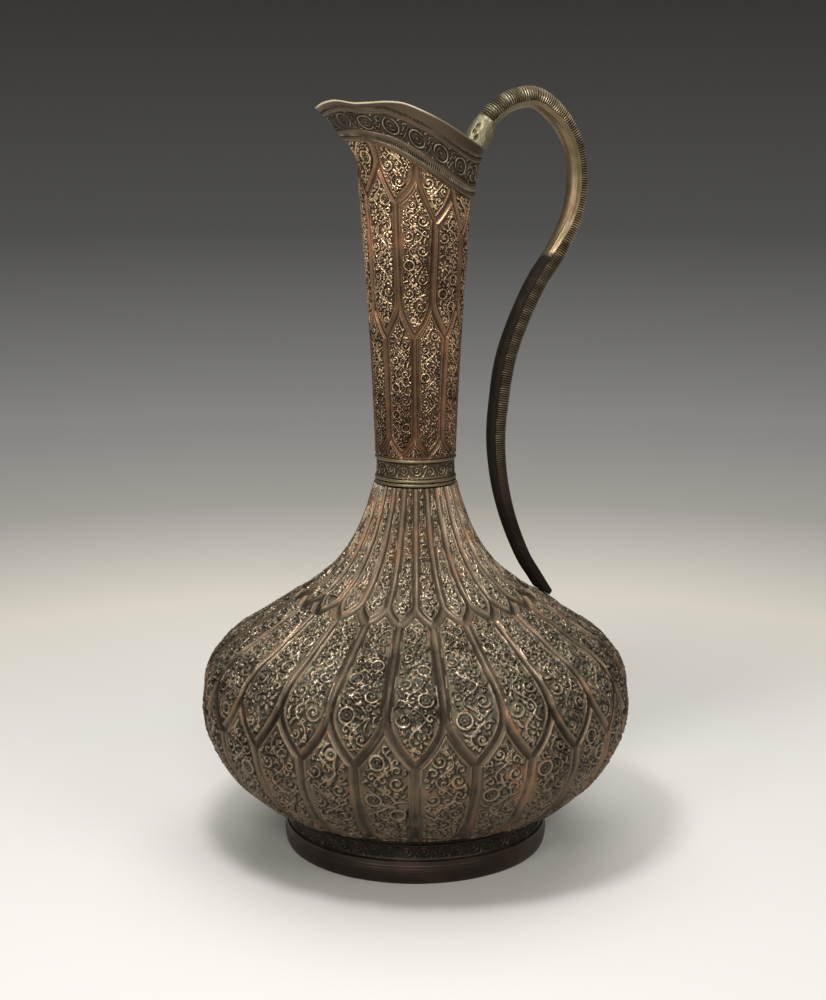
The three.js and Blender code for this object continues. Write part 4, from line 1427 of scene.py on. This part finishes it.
# Carries a half section along the path; the flat grid says where each corner lies on it
def handleTree():
    numbers = (
        "Length, Base, Depth, Half Breadth, Tail Share, Taper Share, Twist, Notch Pitch, Notch Depth, Notch From, "
        "Notch To, Ridge Middle, Ridge Place, Ridge Half, Ridge Rise, Dents, Lift, Seed")
    bench, given, out = openShape(
        "carriedHalfRound", numbers, "Twist Above, Twist Below, Seat, Seat Normal", Path="Object")
    info = bench.add("GeometryNodeObjectInfo", "Geometry", {"Object": given["Path"]})
    curve = bench.add("GeometryNodeMeshToCurve", 0, {"Mesh": info})
    along, bend, swell = (bench.mask(name) for name in ("along", "bend", "swell"))
    inputs = {"Curves": curve, "Factor": along}
    centre = bench.add("GeometryNodeSampleCurve", "Position", inputs, mode="FACTOR")
    tangent = Term(bench, centre.socket.node.outputs["Tangent"])
    size = bench.eased(along, 0.0, given["Taper Share"], given["Tail Share"], 1.0)
    turns = (along * given["Length"]).step("DIVIDE", given["Notch Pitch"])
    cut = (turns * tau).step("COSINE") * 0.5 + 0.5
    milled = bench.eased(along, given["Notch From"], given["Notch To"]) * swell
    milled = milled * given["Notch Depth"].step("GREATER_THAN", 0.0)
    side = ((bend - given["Ridge Middle"]).step("ABSOLUTE") - given["Ridge Place"]).step("ABSOLUTE")
    ridge = bench.eased(side, 0.0, given["Ridge Half"], 1.0, 0.0) * given["Ridge Rise"]
    dents = (bench.noise(centre, 95.0, given["Seed"]) - 0.5) * given["Dents"]
    grow = ridge - cut * milled * given["Notch Depth"] + dents
    d = (given["Depth"] + grow) * swell * bend.step("COSINE") + given["Base"]
    b = (given["Half Breadth"] + grow * swell) * bend.step("SINE")
    angle = given["Twist"]
    for name in ("Twist Above", "Twist Below"):
        amount, low, high = bench.split(given[name])
        angle = angle + bench.eased(along, low, high) * amount
    angle = angle * (math.pi / 180)
    c, s = angle.step("COSINE"), angle.step("SINE")
    level = bench.vectors("CROSS_PRODUCT", (0, 1, 0), tangent)
    place = bench.vectors("ADD", centre, bench.scaled(level, (b * s + d * c) * size * mm))
    place = bench.vectors("ADD", place, bench.joined(Y=(b * c - d * s) * size * mm))
    seat, normal = given["Seat"], given["Seat Normal"]
    height = bench.vectors("DOT_PRODUCT", bench.vectors("SUBTRACT", place, bench.scaled(seat, mm)), normal)
    short = (given["Lift"] * mm - height).step("MAXIMUM", 0.0)
    steep = bench.vectors("DOT_PRODUCT", tangent, normal).step("MAXIMUM", 0.3)
    place = bench.vectors("ADD", place, bench.scaled(tangent, short.step("DIVIDE", steep)))
    last = bench.add("GeometryNodeSetPosition", 0, {"Geometry": given["Geometry"], "Position": place})
    # The crowd mask paints shade into the milled cuts
    for name, value in (("scroll", (1.0 - cut) * milled), ("panel", milled), ("crowd", milled)):
        last = bench.stored(last, name, value)
    return bench.sealed(last, given["Material"], out)


def buildHandle(material):
    tree = handleTree()
    points, length = handlePath()
    path = bpy.data.meshes.new("handle_path")
    path.from_pydata([tuple(p * mm) for p in points], [(i, i + 1) for i in range(len(points) - 1)], [])
    pathThing = linkMesh("handle_path", path)
    place, down, across, out = palmAxes()
    end = 1 - (handle["rootRise"] + handle["lift"]) / length
    for name, base, depth, middle, columns, spacing, notchDepth, ridgeRise in handle["halves"]:
        arc = np.linspace(-math.pi / 2, math.pi / 2, columns)
        back = np.linspace(math.pi / 2, -math.pi / 2, handle["flat"] + 2)[1:-1]
        bend = middle + np.concatenate([arc, back])
        swell = np.repeat([1, 0], [columns, handle["flat"]])
        rows, count = int(length * end / spacing), len(bend)
        mesh = cappedMesh(name, np.arange(3.0 * rows * count).reshape(rows, count, 3))
        paint(mesh, "along", np.append(np.repeat(np.linspace(0, end, rows), count), [0, end]))
        paint(mesh, "bend", np.append(np.tile(bend, rows), [middle, middle]))
        paint(mesh, "swell", np.append(np.tile(swell, rows), [0.5, 0.5]))
        strip = shapeWith(linkMesh(name, mesh), tree, {
            **handle, "path": pathThing, "length": length, "base": base, "depth": depth, "notchDepth": notchDepth,
            "ridgeRise": ridgeRise, "ridgeMiddle": middle, "seat": tuple(place + out * handle["palmThickness"]),
            "seatNormal": tuple(out), "material": material,
        })
        faceOutwards(strip)
        finishPiece(strip, name, 60)
    bpy.data.objects.remove(pathThing)


buildHandle(metals["handle"])


# Root: the lump of solder that holds the handle to the rim, with three pits in its near side

root = {
    "columns": 120,
    "rows": 64,
    "depth": 11.9,
    "breadth": 14.2,
    # centre on X and height, lean of the section in degrees, share of the depth, share of the breadth
    "sections": [
        (29.0, 333.0, 0.0, 0.21, 0.7), (29.8, 337.5, 0.0, 0.55, 0.84), (30.2, 340.0, 0.0, 0.76, 0.9),
        (30.2, 342.0, 0.0, 1.0, 1.0),
    ],
    "middleShares": (1.05, 0.9),
    "topShares": (0.87, 0.78),
    "pits": [(28.8, 347.0), (28.8, 350.0), (30.7, 352.5)],  # X and height
    "pitRadius": 1.3,
    "pitDepth": 2.1,
    "lumps": 1.5,
    "grain": 0.8,
    "seed": 19,
}


def pittedLumpTree():
    numbers = "Pit Radius, Pit Depth, Lumps, Grain, Seed"
    bench, given, out = openShape("pittedLump", numbers, **{"Pit Marks": "Object"})
    place, radius = bench.place(), given["Pit Radius"] * mm
    lumps, grain = (
        (bench.noise(place, scale, given["Seed"], detail) - 0.5) * given[name] * mm
        for name, scale, detail in (("Lumps", 260.0, 2.0), ("Grain", 750.0, 3.0)))
    marks = bench.add("GeometryNodeObjectInfo", "Geometry", {"Object": given["Pit Marks"]})
    near = bench.add("GeometryNodeProximity", "Distance", {"Geometry": marks}, target_element="POINTS")
    sunk = bench.eased(near, radius * 0.35, radius, 1.0, 0.0)
    swollen = bench.scaled(bench.add("GeometryNodeInputNormal"), lumps + grain)
    push = bench.vectors("ADD", swollen, bench.joined(Y=sunk * given["Pit Depth"] * mm))
    # The pits are painted dark with shade
    return bench.sealed(bench.stored(bench.moved(given["Geometry"], push), "pit", sunk), given["Material"], out)


def buildRoot(material):
    points, length = handlePath()
    at = int((1 - handle["rootRise"] / length) * (len(points) - 1))
    top, step = points[at], points[at - 2] - points[at + 2]
    lean = math.degrees(math.atan2(step[0], step[2]))
    rimX, rimZ = root["sections"][-1][:2]
    sections = [
        *root["sections"], (rimX * 0.55 + top[0] * 0.45, rimZ * 0.5 + top[2] * 0.5, lean / 2, *root["middleShares"]),
        (top[0], top[2], lean, *root["topShares"]),
    ]
    turn = ringTurns(root["columns"])
    x, z, tilt, deep, broad = smoothCurve(sections, root["rows"]).T[:, :, None]
    tilt = np.radians(tilt)
    side, y = np.cos(turn) * deep * root["depth"] / 2, np.sin(turn) * broad * root["breadth"] / 2
    outside = np.stack([x + side * np.cos(tilt), y, z - side * np.sin(tilt)], -1)
    lump = linkMesh("handle_root", cappedMesh("handle_root", outside))
    nearSide = outside[y < 0]
    marks = [nearSide[np.hypot(nearSide[:, 0] - px, nearSide[:, 2] - pz).argmin()] * mm for px, pz in root["pits"]]
    marksThing = linkMesh("pit_marks", meshFrom("pit_marks", marks))
    lump = shapeWith(lump, pittedLumpTree(), {**root, "pitMarks": marksThing, "material": material})
    bpy.data.objects.remove(marksThing)
    faceOutwards(lump)
    finishPiece(lump, "handle_root")


buildRoot(metals["root"])


# Palm: a small chased leaf under the handle's foot

palm = {
    "length": 17.0, "breadth": 11.0, "tipShare": 0.55, "thickness": 1.3, "edge": 0.6, "under": 0.1,
    "columns": 160, "rows": 26, "veinSpacing": 2.3, "veinHalf": 0.32, "rimPlace": 0.93, "rimHalf": 0.04,
    "beadRise": 0.2, "groundDepth": 0.15, "scrollRise": 0.35, "unevenness": 0.15, "seed": 29,
}


def leafOutline(count):
    tip = palm["length"] * palm["tipShare"]
    heel, half = palm["length"] - tip, palm["breadth"] / 2
    corners = np.array([
        ((-heel, 0), (-heel, -half), (0, -half)), ((0, -half), (tip / 2, -half), (tip, 0)),
        ((tip, 0), (tip / 2, half), (0, half)), ((0, half), (-heel, half), (-heel, 0)),
    ])
    t = np.linspace(0, 1, count // 4, endpoint=False)[:, None]
    return np.vstack([(1 - t) ** 2 * a + 2 * t * (1 - t) * b + t**2 * c for a, b, c in corners])


def buildPalm(material):
    place, down, across, out = palmAxes()
    edge = leafOutline(palm["columns"])
    under = np.linspace(0.04, 1, 5)
    share = np.concatenate([under, np.linspace(1, 0.04, palm["rows"])])[:, None]
    above = (np.arange(len(share)) >= len(under)).astype(float)[:, None]
    x, y = edge[:, 0] * share, edge[:, 1] * share
    dome = (palm["thickness"] - palm["edge"]) * np.sqrt(1 - share**2)
    z = palm["under"] + above * (palm["edge"] - palm["under"] + dome) + 0 * x
    rib = ridges(y, [0], palm["veinHalf"])
    slant = np.mod(x + 0.9 * np.abs(y), palm["veinSpacing"]) - palm["veinSpacing"] / 2
    veins = ridges(slant, [0], palm["veinHalf"]) * (1 - rib)
    rim = ridges(share, [palm["rimPlace"]], palm["rimHalf"])
    mesh = cappedMesh("handle_palm", place + x[..., None] * down + y[..., None] * across + z[..., None] * out)
    masks = {"scroll": np.clip(veins + rib, 0, 1), "panel": 1, "bead": rim, "skin": 1, "crown": 0, "channel": 0}
    for label, mask in masks.items():
        paint(mesh, label, np.append(np.broadcast_to(mask * above, x.shape), [0, 0]))
    paint(mesh, "outward", np.repeat(out[None], len(mesh.vertices), 0))
    shell = shapeWith(linkMesh("handle_palm", mesh), chasedTree, {**palm, "material": material})
    faceOutwards(shell)
    finishPiece(shell, "handle_palm")


buildPalm(metals["palm"])
